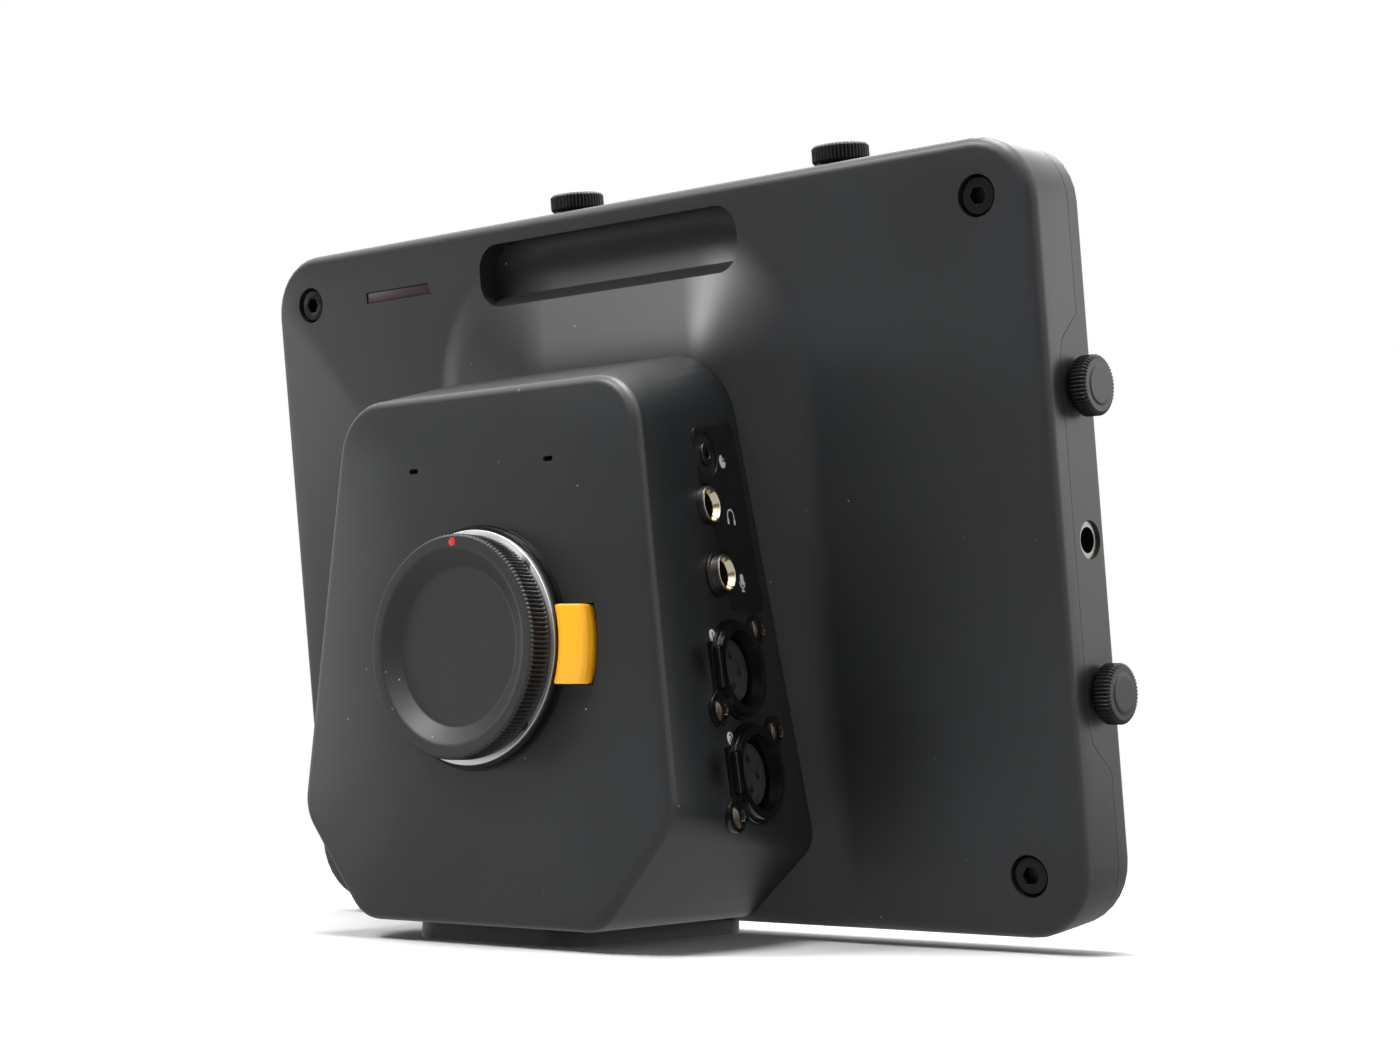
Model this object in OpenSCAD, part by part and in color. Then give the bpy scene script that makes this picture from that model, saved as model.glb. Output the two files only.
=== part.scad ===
// Studio camera: a cast tapered nose with a lens mount on a wide display tray.
// Origin: the tripod thread in the base plate, on the surface the camera stands on.
// The lens looks along -Y, +X is to the right when facing the lens, +Z is up.

/* [Display tray] */
// Width of the tray
panel_w = 266.2; // [250:0.1:290]
// Height of the tray along its own slope
panel_h = 193.2; // [185:0.1:205]
// Thickness of the tray
panel_t = 22; // [20:0.1:28]
// Backward lean of the tray's foot against its head, degrees
panel_tilt = 7.5; // [0:0.5:12]
// Distance of the tray's foot behind the tripod thread
panel_foot_y = 23.06; // [20:0.01:30]
// Height of the tray's foot above the ground
panel_foot_z = 3.4; // [3:0.1:6]
// Radius of the tray's corners
panel_corner_r = 17; // [14:0.5:24]
// Radius of the rounding along the tray's front edge
panel_edge_r = 3; // [1:0.1:4]
// Radius of the rounding along the tray's rear edge
rear_edge_r = 2; // [0.5:0.1:2.4]
// Wall of the tray's face and rim
tray_wall = 3; // [2.5:0.1:3.5]
// Depth of the seam between the front and the rear housing
seam_depth = 16; // [15:0.1:17]
// Width of the seam
seam_gap = 0.15; // [0.05:0.05:0.3]

/* [Rear tabs] */
// Depth at which the tabs of the rear housing start
tab_depth = 7.2; // [6:0.1:7.4]
// Depth of the bend in a tab's sloping end
tab_bend_depth = 8.6; // [8.2:0.1:10]
// Height on the side of the lower end of the tab
side_tab_low = 38.6; // [34:0.1:42]
// Height on the side of the upper end of the tab
side_tab_high = 149; // [146:0.1:155]
// Length of a tab's steep end
tab_ramp = 6; // [4:0.1:8]
// Length of a tab's shallow end
tab_shallow = 4.4; // [3:0.1:6]
// Place of the left end of the top tab
top_tab_left = -44; // [-50:0.1:-42]
// Place of the right end of the top tab
top_tab_right = 91.5; // [88:0.1:95]

/* [Handle recess] */
// Width of the handle recess
handle_w = 92; // [80:0.5:100]
// Height of the lower lip of the recess on the tray
handle_low = 169.8; // [167:0.1:171]
// Height of the upper lip of the recess on the tray
handle_high = 187.3; // [186:0.1:188]
// Sideways place of the recess
handle_s = -1.3; // [-5:0.1:5]
// Corner radius of the recess
handle_r = 7; // [3:0.5:8]
// Depth of the recess
handle_depth = 6.8; // [6:0.1:6.9]
// Wall of the recess inside the tray
handle_wall = 1.5; // [1.2:0.1:1.6]
// Rise of the recess's sloping floor from lip to back
handle_ramp = 3.4; // [2:0.1:5]
// Height of the finger hook behind the upper lip
handle_hook = 2.4; // [1:0.1:2.6]

/* [Tally window] */
// Place of the window's left end
tally_left = -93.5; // [-96:0.1:-90]
// Place of the window's right end
tally_right = -67.1; // [-70:0.1:-64]
// Height of the window's lower edge
tally_low = 176.7; // [174:0.1:177]
// Height of the window's upper edge
tally_high = 179.6; // [178.8:0.1:181]
// Slant of the window's right end
tally_slant = 1.4; // [0:0.1:2]
// Thickness of the window
tally_t = 2.4; // [1.5:0.1:2.8]
// Depth of the window below the tray's face
tally_sunk = 0.3; // [0.1:0.1:0.5]

/* [Corner screws] */
// Sideways place of the corner screws
corner_screw_s = 117.7; // [115:0.1:119]
// Height of the upper corner screws
corner_screw_high = 178.8; // [176:0.1:180]
// Height of the lower corner screws
corner_screw_low = 15.4; // [14:0.1:17]
// Radius of a corner screw's shank
corner_shank_r = 2.5; // [2:0.1:2.6]
// Radius of a corner screw's head
corner_head_r = 4.4; // [4:0.1:4.6]
// Height of a corner screw's head
corner_head_h = 4.5; // [3.5:0.1:5]
// Radius of the counterbore round the head
corner_bore_r = 5.2; // [5:0.1:5.6]
// Depth of the head below the tray's face
corner_sunk = 0.8; // [0.4:0.1:1]
// Width across flats of the hexagon socket
hex_flats = 4; // [3:0.1:4.4]
// Depth of the hexagon socket
hex_depth = 2.5; // [2:0.1:3]
// Wall of the rear boss round the shank
rear_boss_wall = 1.4; // [1:0.1:1.5]
// Length of a corner screw's shank
corner_shank_l = 10; // [8:0.1:11]

/* [Accessory threads] */
// Depth of the accessory threads in the rim
thread_depth = 14.4; // [14:0.1:14.6]
// Height of the upper thumbscrew on each side
side_screw_high = 131.4; // [128:0.1:134]
// Height of the lower thumbscrew on each side
side_screw_low = 57.5; // [55:0.1:60]
// Height of the bare thread on each side
side_thread_h = 94.6; // [90:0.1:100]
// Place of the left thumbscrew on the top
top_screw_left = -21.5; // [-24:0.1:-19]
// Place of the right thumbscrew on the top
top_screw_right = 69.1; // [66:0.1:72]
// Radius of a 1/4 inch thread
quarter_thread_r = 3.175; // [3:0.005:3.3]
// Radius of a 3/8 inch thread
large_thread_r = 4.76; // [4.6:0.01:4.9]
// Outer radius of a threaded bush
insert_r = 4.7; // [4.4:0.1:5]
// Length of a threaded bush
insert_l = 9; // [7:0.1:10]
// Depth of the bush below the rim
insert_sunk = 0.8; // [0.3:0.1:1]
// Radius of the boss that holds a bush
boss_r = 5.8; // [5.6:0.1:5.9]

/* [Thumbscrews] */
// Radius of a thumbscrew's knurled head
thumb_r = 7.4; // [6.5:0.1:8]
// Height of a thumbscrew's head
thumb_h = 5; // [4:0.1:6]
// Radius of the neck under the head
thumb_neck_r = 5.4; // [5:0.1:6]
// Height of the neck
thumb_neck_h = 0.9; // [0.5:0.1:1.5]
// Chamfer of the head
thumb_chamfer = 0.7; // [0.3:0.1:1]
// Clearance of the screw's shank in its thread
thread_clearance = 0.07; // [0.02:0.01:0.1]

/* [Nose] */
// Place of the nose's front face
nose_front_y = -48; // [-52:0.1:-46]
// Height of the top of the front face
nose_top_z = 137; // [132:0.1:142]
// Half width of the front face at its top
nose_top_half = 48.4; // [46:0.1:50]
// Height at which the front face is widest
nose_side_z = 33.1; // [30:0.1:36]
// Half width of the front face at its widest
nose_side_half = 61.4; // [59:0.1:64]
// Half width of the front face at its foot
nose_foot_half = 40.1; // [38:0.1:43]
// Height of the nose's floor
nose_floor_z = 5; // [4:0.1:6]
// Corner radius at the top of the front face
nose_top_r = 12; // [10:0.1:15]
// Corner radius at the sides of the front face
nose_side_r = 10; // [8:0.1:14]
// Corner radius at the foot of the front face
nose_foot_r = 9; // [6:0.1:10]
// Rounding between the front face and the walls
nose_edge_r = 2.5; // [1:0.1:3]
// Wall of the nose
nose_wall = 3; // [2.5:0.1:3.5]

/* [Nose root on the tray] */
// Height of the root's top on the tray
root_top_h = 150.1; // [146:0.1:154]
// Half width of the root's top on the right
root_right_top = 37; // [35:0.1:40]
// Half width of the root's foot on the right
root_right_low = 54.3; // [52:0.1:56]
// Half width of the root on the left
root_left = 66; // [63:0.1:67]
// Height of the root's lower corner on each side
root_side_h = 21.5; // [19:0.1:24]
// Height of the root's floor on the tray
root_floor_h = 1.6; // [1.5:0.1:2]
// Half width of the root's floor on the right
root_right_foot = 31.1; // [29:0.1:34]
// Half width of the root's floor on the left
root_left_foot = 42; // [40:0.1:45]
// Corner radius at the root's top right
root_top_right_r = 20; // [16:0.1:22]
// Corner radius at the root's top left
root_top_left_r = 8; // [6:0.1:10]
// Corner radius at the root's sides and foot
root_low_r = 8; // [6:0.1:9]

/* [Base plate] */
// Left edge of the base plate
base_left = -36; // [-38:0.1:-34]
// Right edge of the base plate
base_right = 22.5; // [21:0.1:26]
// Front edge of the base plate
base_front = -36.2; // [-38:0.1:-34]
// Rear edge of the base plate
base_rear = 36; // [34:0.1:37]
// Corner radius of the base plate
base_r = 10; // [6:0.1:12]
// Distance of the large thread from the tripod thread
large_thread_step = 18; // [14:0.1:20]
// Radius of a base screw's head
base_head_r = 2.9; // [2.6:0.1:3]
// Height of a base screw's head
base_head_h = 2; // [1.5:0.1:2.5]
// Radius of a base screw's shank
base_shank_r = 1.5; // [1.2:0.1:1.6]
// Length of a base screw
base_screw_l = 11; // [10:0.1:12]
// Distance of the base screws from the plate's edge
base_screw_in = 6; // [5:0.1:7]
// Place of the rear base screws
base_screw_rear = 12; // [10:0.1:13]
// Wall of a screw boss
boss_wall = 2.2; // [1.6:0.1:2.6]

/* [Lens mount] */
// Height of the lens axis
lens_z = 73.9; // [70:0.1:78]
// Radius of the lip that meets the nose
mount_lip_r = 30.8; // [30.5:0.1:30.8]
// Thickness of the lip
mount_lip_t = 0.4; // [0.3:0.1:0.6]
// Radius of the black mount ring
mount_ring_r = 30.2; // [29.8:0.1:30.4]
// Front of the mount ring, from the nose's face
mount_ring_out = 2.2; // [1.8:0.1:2.6]
// Radius of the ring's neck in the nose wall
mount_neck_r = 28.7; // [28.4:0.1:28.8]
// Radius of the bright ring
bayonet_r = 29.3; // [29:0.1:29.6]
// Lens flange, from the nose's face
flange_out = 3.2; // [3:0.1:3.6]
// Radius of the bright ring's sleeve
sleeve_r = 25.9; // [25.6:0.1:26]
// Radius of the bore in the bright ring
bayonet_bore_r = 21.6; // [21.4:0.1:21.8]
// Radius that the bayonet's inward tabs leave
bayonet_tab_r = 19.6; // [19.5:0.1:20]
// Number of the bayonet's tabs
bayonet_tabs = 3; // [3:1:3]
// Angle that a bayonet tab covers
bayonet_tab_angle = 55; // [50:1:58]
// Thickness of the bayonet tabs
bayonet_tab_t = 1.5; // [1.2:0.1:1.8]
// Flange to sensor distance
register = 19.25; // [18:0.01:20]
// Circle radius of the mount screws
mount_screw_pitch_r = 27.4; // [27.3:0.1:27.5]
// Radius of a mount screw's shank
mount_shank_r = 0.7; // [0.6:0.05:0.8]
// Radius of a mount screw's head
mount_head_r = 1.3; // [1.1:0.05:1.4]
// Length of a mount screw
mount_screw_l = 5; // [4:0.1:5.5]

/* [Body cap] */
// Radius of the cap
cap_r = 28; // [27.5:0.1:28.5]
// Front of the cap, from the nose's face
cap_out = 9.67; // [9:0.01:10.5]
// Radius where the cap's sunk centre starts
cap_cone_r = 24.3; // [24:0.1:25]
// Radius of the cap's sunk floor
cap_floor_r = 20.5; // [19.9:0.1:21]
// Depth of the cap's sunk floor
cap_sunk = 3; // [2.5:0.1:3.2]
// Thickness of the cap's floor
cap_floor_t = 1.8; // [1.5:0.1:2]
// Wall of the cap's rim
cap_wall = 2.4; // [2:0.1:2.8]
// Radius of the cap's bayonet collar
cap_collar_r = 19.1; // [18.8:0.1:19.2]
// Wall of the cap's bayonet collar
cap_collar_wall = 1.6; // [1.2:0.1:2]
// Radius of the cap's bayonet lugs
cap_lug_r = 21; // [20.8:0.1:21.1]
// Angle that a cap lug covers
cap_lug_angle = 50; // [45:1:52]
// Turn of a lug behind its tab when the cap is locked
cap_lock_angle = 20; // [15:1:25]
// Thickness of a cap lug
cap_lug_t = 1.3; // [1:0.1:1.5]

/* [Lens release] */
// Inner radius of the release's shelf
release_shelf_r = 31.3; // [31.2:0.1:31.6]
// Inner radius of the raised pad
release_inner_r = 33.5; // [33:0.1:34]
// Outer radius of the raised pad
release_outer_r = 40; // [40:0.1:43]
// Half height of the pad
release_half = 9.6; // [8:0.1:11]
// Corner radius of the pad
release_corner_r = 1.6; // [1:0.1:2]
// Front of the pad, from the nose's face
release_out = 4.6; // [4:0.1:5]
// Front of the shelf, from the nose's face
release_shelf_out = 2.6; // [2.2:0.1:3]
// Travel of the release
release_travel = 2; // [1.5:0.1:2.2]
// Margin of the flange behind the nose wall
release_flange_margin = 2; // [1.5:0.1:2.4]
// Thickness of that flange
release_flange_t = 1.5; // [1.2:0.1:2]
// Radius of the lock pin
lock_pin_r = 1; // [0.8:0.05:1.1]
// Distance of the lock pin from the lens axis
lock_pin_place = 23.7; // [23.6:0.1:23.9]
// Height of the lock pin above the flange
lock_pin_out = 0.9; // [0.7:0.1:1]
// Half width of the lock pin's arm
lock_arm_half = 3; // [2:0.1:4]

/* [Sensor] */
// Width of the sensor frame
sensor_frame_w = 76; // [74:0.1:78]
// Height of the sensor frame
sensor_frame_h = 50; // [48:0.1:52]
// Thickness of the sensor frame
sensor_frame_t = 3.8; // [3:0.1:4]
// Radius of the sensor frame's posts
sensor_post_r = 3; // [2.5:0.1:3.5]
// Width of the image sensor
sensor_w = 24; // [22:0.1:26]
// Height of the image sensor
sensor_h = 20; // [18:0.1:22]
// Thickness of the image sensor
sensor_t = 1.6; // [1.2:0.1:2]
// Width of the light opening in front of the sensor
gate_w = 18.5; // [17.5:0.1:20]
// Height of the light opening
gate_h = 14.5; // [13:0.1:16]
// Width of the sensor filter
filter_w = 25; // [22:0.1:27]
// Height of the sensor filter
filter_h = 21; // [18:0.1:23]
// Thickness of the sensor filter
filter_t = 1.2; // [0.8:0.1:1.6]
// Width of the sensor board
sensor_board_w = 60; // [56:0.1:64]
// Height of the sensor board
sensor_board_h = 44; // [40:0.1:46]
// Thickness of every circuit board
board_t = 1.6; // [1.2:0.1:1.6]

/* [Microphones] */
// Distance of a microphone slot from the lens axis
mic_x = 23.5; // [20:0.1:27]
// Height of the microphone slots
mic_z = 119.8; // [117:0.1:124]
// Length of a microphone slot
mic_slot_w = 3.2; // [2.5:0.1:4]
// Height of a microphone slot
mic_slot_h = 1.3; // [1:0.1:1.6]
// Radius of a microphone
mic_r = 4; // [3:0.1:5]
// Length of a microphone
mic_l = 4; // [3:0.1:6]

/* [Jack sockets] */
// Place of the remote socket behind the tripod thread
remote_y = -14.2; // [-15:0.1:-13]
// Height of the remote socket
remote_z = 122.4; // [121:0.1:124]
// Outer radius of the remote socket
remote_r = 2.95; // [2.7:0.05:3.2]
// Bore radius of the remote socket
remote_bore_r = 1.3; // [1.2:0.05:1.4]
// Stand-out of the remote socket
remote_out = 0.8; // [0.5:0.1:1.2]
// Place of the headphone socket behind the tripod thread
phones_y = -17; // [-18:0.1:-16]
// Height of the headphone socket
phones_z = 109.1; // [108:0.1:110]
// Stand-out of the headphone socket
phones_out = 2; // [1.5:0.1:2.5]
// Place of the microphone socket behind the tripod thread
talk_y = -15.5; // [-16.5:0.1:-14.5]
// Height of the microphone socket
talk_z = 91.8; // [90.5:0.1:93]
// Stand-out of the microphone socket
talk_out = 3.3; // [3:0.1:3.6]
// Outer radius of a quarter inch jack's bush
jack_r = 4.7; // [4.4:0.05:4.9]
// Bore radius of a quarter inch jack
jack_bore_r = 3.25; // [3.2:0.01:3.35]
// Radius of the jack's washer
jack_washer_r = 5.6; // [5.2:0.1:6]
// Thickness of the jack's washer
jack_washer_t = 1; // [0.6:0.1:1.2]
// Depth of a jack's bore
jack_bore_l = 15; // [12:0.1:16]
// Length of a jack's body inside the wall
jack_body_l = 18; // [17:0.1:20]
// Radius of a jack's body
jack_body_r = 6.4; // [6:0.1:6.6]

/* [Label plate] */
// Thickness of the label plate
label_t = 0.4; // [0.3:0.05:0.6]
// Corner radius of the label plate
label_r = 2.5; // [1:0.1:4]
// Front upper corner of the label plate, from the headphone socket
label_front_top = [-3.5, 19.5];
// Rear upper corner of the label plate, from the headphone socket
label_rear_top = [20.5, 23.5];
// Rear lower corner of the label plate, from the headphone socket
label_rear_low = [25.5, -26];
// Front lower corner of the label plate, from the headphone socket
label_front_low = [7.5, -26];

/* [XLR sockets] */
// Place of the upper XLR socket behind the tripod thread
xlr_1_y = -10.6; // [-11.5:0.1:-9.5]
// Height of the upper XLR socket
xlr_1_z = 68.4; // [67:0.1:70]
// Place of the lower XLR socket behind the tripod thread
xlr_2_y = -7.4; // [-8.5:0.1:-6.5]
// Height of the lower XLR socket
xlr_2_z = 42.8; // [41:0.1:43]
// Radius of the socket's flange
xlr_flange_r = 12.6; // [12.4:0.1:12.7]
// Thickness of the flange above the wall
xlr_flange_out = 0.9; // [0.6:0.1:1.2]
// Outer radius of the raised ring
xlr_ring_r = 11.6; // [11.3:0.1:11.8]
// Front of the raised ring above the wall
xlr_ring_out = 2.5; // [2.5:0.1:3.5]
// Bore radius of the socket
xlr_bore_r = 9.5; // [9.3:0.1:9.8]
// Radius of the contact insert
xlr_insert_r = 7.85; // [7.6:0.05:8]
// Depth of the insert's face below the wall
xlr_insert_sunk = 1; // [1:0.1:3]
// Depth of the socket's bore
xlr_bore_l = 13; // [12:0.1:15]
// Length of the socket's barrel inside the wall
xlr_barrel_l = 15.5; // [15.2:0.1:18]
// Radius of a contact hole
xlr_contact_r = 1.3; // [1:0.1:1.5]
// Distance of the contact holes from the centre
xlr_contact_place = 4.1; // [3.8:0.1:4.5]
// Rearward place of the fixing screws from the centre
xlr_screw_y = 12.6; // [12:0.1:14]
// Upward place of the fixing screws from the centre
xlr_screw_z = 10.4; // [10:0.1:11]
// Radius of the ears round the screws
xlr_ear_r = 4; // [3.6:0.1:4.2]
// Radius of a fixing screw's head
xlr_head_r = 3; // [2.6:0.1:3.2]
// Height of a fixing screw's head
xlr_head_h = 1.6; // [1.2:0.1:2]
// Radius of a fixing screw's shank
xlr_shank_r = 1.4; // [1.2:0.1:1.5]
// Length of a fixing screw's shank
xlr_shank_l = 7; // [6:0.1:9]
// Half height of the latch
latch_half = 5; // [4:0.1:5.5]
// Width of the latch
latch_w = 2; // [1.6:0.1:2.2]
// Wall of the flange round the latch
latch_guard = 1.2; // [0.8:0.1:1.4]
// Travel of the latch
latch_travel = 1.2; // [0.8:0.1:1.4]

/* [Left side sockets] */
// Place of the left sockets behind the tripod thread
left_y = -12; // [-14:0.1:-10]
// Height of the video output
sdi_out_z = 118; // [117:0.1:119]
// Height of the video input
sdi_in_z = 101.5; // [100:0.1:102]
// Height of the reference input
reference_z = 85; // [84:0.1:86]
// Height of the optical port
optical_z = 68; // [67:0.1:69]
// Height of the power socket
power_z = 49.5; // [48:0.1:50]
// Radius of a coaxial socket's barrel
coax_r = 4.8; // [4.6:0.1:5]
// Stand-out of a coaxial socket
coax_out = 10; // [8:0.1:12]
// Radius of a coaxial socket's nut
coax_nut_r = 7; // [6.5:0.1:7.5]
// Height of a coaxial socket's nut
coax_nut_h = 2.2; // [1.8:0.1:2.6]
// Bore radius of a coaxial socket
coax_bore_r = 3.4; // [3.2:0.1:3.6]
// Depth of the centre pin's tip inside a coaxial socket
coax_pin_sunk = 1; // [0.5:0.1:2]
// Radius of a coaxial socket's centre pin
coax_pin_r = 0.7; // [0.6:0.05:0.9]
// Length of a coaxial socket inside the wall
coax_body_l = 12; // [10:0.1:14]
// Width of the optical port
optical_w = 15; // [14:0.1:17]
// Height of the optical port
optical_h = 13; // [11:0.1:14]
// Wall of the optical port
optical_wall = 1.5; // [1:0.1:2]
// Stand-out of the optical port
optical_out = 2; // [1:0.1:3]
// Length of the optical port inside the wall
optical_l = 14; // [12:0.1:18]
// Radius of the power socket
power_r = 10.5; // [10:0.1:11]
// Stand-out of the power socket
power_out = 2; // [1:0.1:3]
// Bore radius of the power socket
power_bore_r = 8.6; // [8:0.1:9]
// Length of the power socket inside the wall
power_l = 16; // [14:0.1:18]
// Radius of a power contact pin
power_pin_r = 0.9; // [0.7:0.1:1.2]
// Depth of the power pins' tips below the wall
power_pin_sunk = 4; // [2:0.1:5]
// Distance of the power pins from the centre
power_pin_place = 4; // [3.5:0.1:4.5]
// Half width of the left plate
left_plate_half = 12; // [11:0.1:13]
// Margin of the left plate above and below its sockets
left_plate_margin = 12; // [11.5:0.1:12.5]

/* [Electronics] */
// Width of the main board
main_board_w = 156; // [152:0.1:160]
// Height of the main board
main_board_h = 116; // [110:0.1:118]
// Height of the main board's lower edge on the tray
main_board_low = 28; // [27:0.1:30]
// Depth of the main board in the tray
main_board_depth = 9; // [8:0.1:10]
// Distance of the board's fixings from its edge
board_screw_in = 5; // [4:0.1:5]
// Radius of the board's posts
board_post_r = 3.5; // [3:0.1:3.8]
// Width of the heat sink
sink_w = 56; // [54:0.1:60]
// Thickness of the heat sink's base
sink_base_t = 3; // [2:0.1:4]
// Height of the heat sink's fins
sink_fin_h = 9; // [6:0.1:12]
// Thickness of a fin
sink_fin_t = 1.2; // [1:0.1:1.6]
// Spacing of the fins
sink_pitch = 5; // [4:0.1:6]
// Width of the fan
fan_w = 50; // [48:0.1:52]
// Thickness of the fan
fan_t = 10; // [10:0.1:12]
// Thinnest wall of the fan's frame round its bore
fan_wall = 2; // [1.5:0.1:2.5]
// Radius of the fan's hub
fan_hub_r = 9; // [8:0.1:10]
// Gap between the blades' tips and the bore
fan_tip_gap = 1; // [0.5:0.1:2]
// Number of the fan's blades
fan_blades = 7; // [5:1:9]
// Number of the spokes that carry the fan's hub
fan_spokes = 3; // [3:1:4]
// Pitch of the blades, degrees
fan_pitch = 35; // [20:1:40]
// Radius of the fan's shaft
fan_shaft_r = 1.5; // [1.2:0.1:2]
// Thickness of the fan's spokes
fan_spoke_t = 1.2; // [1:0.1:1.5]
// Length of a blade's root inside the hub
fan_root = 1; // [0.8:0.1:1.5]
// Width of the battery pack
battery_w = 46; // [40:0.1:48]
// Depth of the battery pack
battery_d = 26; // [20:0.1:28]
// Height of the battery pack
battery_h = 18; // [14:0.1:19]
// Height of the tray centre line that carries the fan
cooler_h = 80; // [78:0.1:84]

/* [Display] */
// Gap between the display module and the bosses beside it
lcd_side_gap = 8.1; // [6:0.1:12]
// Gap between the display module and the bosses above it
lcd_top_gap = 1.7; // [1:0.1:4]
// Thickness of the display module
lcd_t = 4.6; // [4:0.1:4.8]
// Height of the display's centre on the tray
lcd_mid = 108; // [107:0.1:108.4]
// Width of the display's picture
picture_w = 217; // [210:0.1:218]
// Height of the display's picture
picture_h = 135.6; // [130:0.1:136]
// Width of the cover glass
glass_w = 244; // [240:0.1:246]
// Height of the cover glass
glass_h = 157; // [154:0.1:158]
// Thickness of the cover glass
glass_t = 1.3; // [1:0.1:1.4]
// Corner radius of the cover glass
glass_r = 4; // [2:0.1:6]

/* [Rear buttons] */
// Number of buttons in the row
button_count = 7; // [7:1:7]
// Spacing of the buttons
button_pitch = 24; // [20:0.1:26]
// Height of the button row on the tray
button_row_h = 15.6; // [15:0.1:16]
// Radius of a button
button_r = 5; // [4:0.1:5.4]
// Stand-out of a button from the rear face
button_out = 1; // [1:0.1:1.4]
// Travel of a button
button_travel = 0.7; // [0.5:0.1:0.8]
// Radius of a button's flange
button_flange_r = 6.4; // [6.2:0.1:6.6]
// Thickness of a button's flange
button_flange_t = 0.6; // [0.5:0.1:0.8]
// Radius of a button's stem
button_stem_r = 1.5; // [1:0.1:2]
// Radius of the posts that hold the button board
button_post_r = 2; // [1.5:0.1:2.5]
// Depth of the button board in the tray
button_board_depth = 13.6; // [13.2:0.1:14]
// Width of the button board
button_board_w = 172; // [170:0.1:180]
// Height of the button board
button_board_h = 15; // [12:0.1:16]

/* [Vents] */
// Number of vent slots in each group
vent_count = 7; // [4:1:8]
// Spacing of the vent slots
vent_pitch = 7; // [6:0.1:8]
// Width of a vent slot
vent_w = 3; // [2:0.1:4]
// Length of a vent slot across the rim
vent_l = 3.6; // [3:0.1:4]
// Place of the middle of each group of vents
vent_s = 76; // [70:0.1:80]

/* [Clearances] */
// Gap between fixed pieces that sit in each other
fit_gap = 0.1; // [0.05:0.05:0.15]
// Gap round pieces that move
move_gap = 0.3; // [0.2:0.05:0.4]

/* [Hidden] */
$fn = 64;
arc_steps = 8;
wall_steps = 3;
edge_steps = 4;
overrun = 1;
probe = 1;
nose_sink = 1;

// Colours
casting = "#2e3032";
plastic = "#17181a";
steel = "#b9bcc0";
brass = "#c9a55a";
board_green = "#1d4a33";

// Outline helpers: corners run anticlockwise, seen from the front
function unit(v) = v / norm(v);
function outward(a, b) = let (d = unit(b - a)) [d[1], -d[0]];
function before(pts, i) = pts[(i + len(pts) - 1) % len(pts)];
function after(pts, i) = pts[(i + 1) % len(pts)];
function shifted(pts, i, d) =
    let (p = pts[i], n1 = outward(before(pts, i), p), n2 = outward(p, after(pts, i)))
    p - d * (n1 + n2) / (1 + n1 * n2);
function inset(pts, d) = [for (i = [0:len(pts) - 1]) shifted(pts, i, d)];
function corner_arc(pts, i, r) =
    let (p = pts[i], n1 = outward(before(pts, i), p), n2 = outward(p, after(pts, i)),
        centre = shifted(pts, i, r), a = atan2(n1[1], n1[0]),
        turn = (atan2(n2[1], n2[0]) - a + 720) % 360)
    [for (k = [0:arc_steps]) centre + r * [cos(a + turn * k / arc_steps),
        sin(a + turn * k / arc_steps)]];
function rounded(pts, radii, steps = 1) =
    [for (i = [0:len(pts) - 1])
        let (a = corner_arc(pts, i, radii[i]),
            b = corner_arc(pts, (i + 1) % len(pts), after(radii, i)))
        each concat(a, [for (k = [1:1:steps - 1])
            a[arc_steps] + (b[0] - a[arc_steps]) * k / steps])];
function box_corners(w, low, high) = [[-w / 2, low], [w / 2, low], [w / 2, high], [-w / 2, high]];

// The tray leans, so its own frame has s across, depth from its face and h up its slope
function panel_point(s, depth, h) = [s,
    panel_foot_y + depth * cos(panel_tilt) - h * sin(panel_tilt),
    panel_foot_z + depth * sin(panel_tilt) + h * cos(panel_tilt)];
function panel_ring(pts, depth) = [for (p = pts) panel_point(p[0], depth, p[1])];
function front_ring(pts, y) = [for (p = pts) [p[0], y, p[1]]];

module on_panel() {
    translate([0, panel_foot_y, panel_foot_z]) rotate([panel_tilt, 0, 0]) children();
}

// A flat shape drawn across the tray, from one depth to another
module slab(from, to) {
    translate([0, to, 0]) rotate([90, 0, 0]) linear_extrude(to - from) children();
}

module depth_rod(s, h, r, from, to) {
    translate([s, to, h]) rotate([90, 0, 0]) cylinder(r = r, h = to - from);
}

module rounded_rect(w, h, r) {
    square([w - 2 * r, h], center = true);
    square([w, h - 2 * r], center = true);
    for (x = [-1, 1], y = [-1, 1])
        translate([x * (w / 2 - r), y * (h / 2 - r)]) circle(r);
}

// A skin through rings of points, from the front ring to the last one
module loft(rings) {
    n = len(rings[0]);
    last = len(rings) - 1;
    polyhedron(
        points = [for (ring = rings) each ring],
        faces = concat(
            [[for (i = [n - 1:-1:0]) i]],
            [[for (i = [0:n - 1]) last * n + i]],
            [for (k = [0:last - 1], i = [0:n - 1])
                [k * n + i, k * n + (i + 1) % n, (k + 1) * n + (i + 1) % n]],
            [for (k = [0:last - 1], i = [0:n - 1])
                [k * n + i, (k + 1) * n + (i + 1) % n, (k + 1) * n + i]]));
}

// Outer form of the tray, rounded along one face and flat at the other
function tray_ring(edge, a) = rounded(
    inset(box_corners(panel_w, 0, panel_h), edge * (1 - sin(a))),
    [for (i = [0:3]) panel_corner_r - edge * (1 - sin(a))]);

module tray_front(thick) {
    loft(concat(
        [for (k = [0:edge_steps]) let (a = 90 * k / edge_steps)
            front_ring(tray_ring(panel_edge_r, a), panel_edge_r * (1 - cos(a)))],
        [front_ring(tray_ring(panel_edge_r, 90), thick)]));
}

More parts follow.
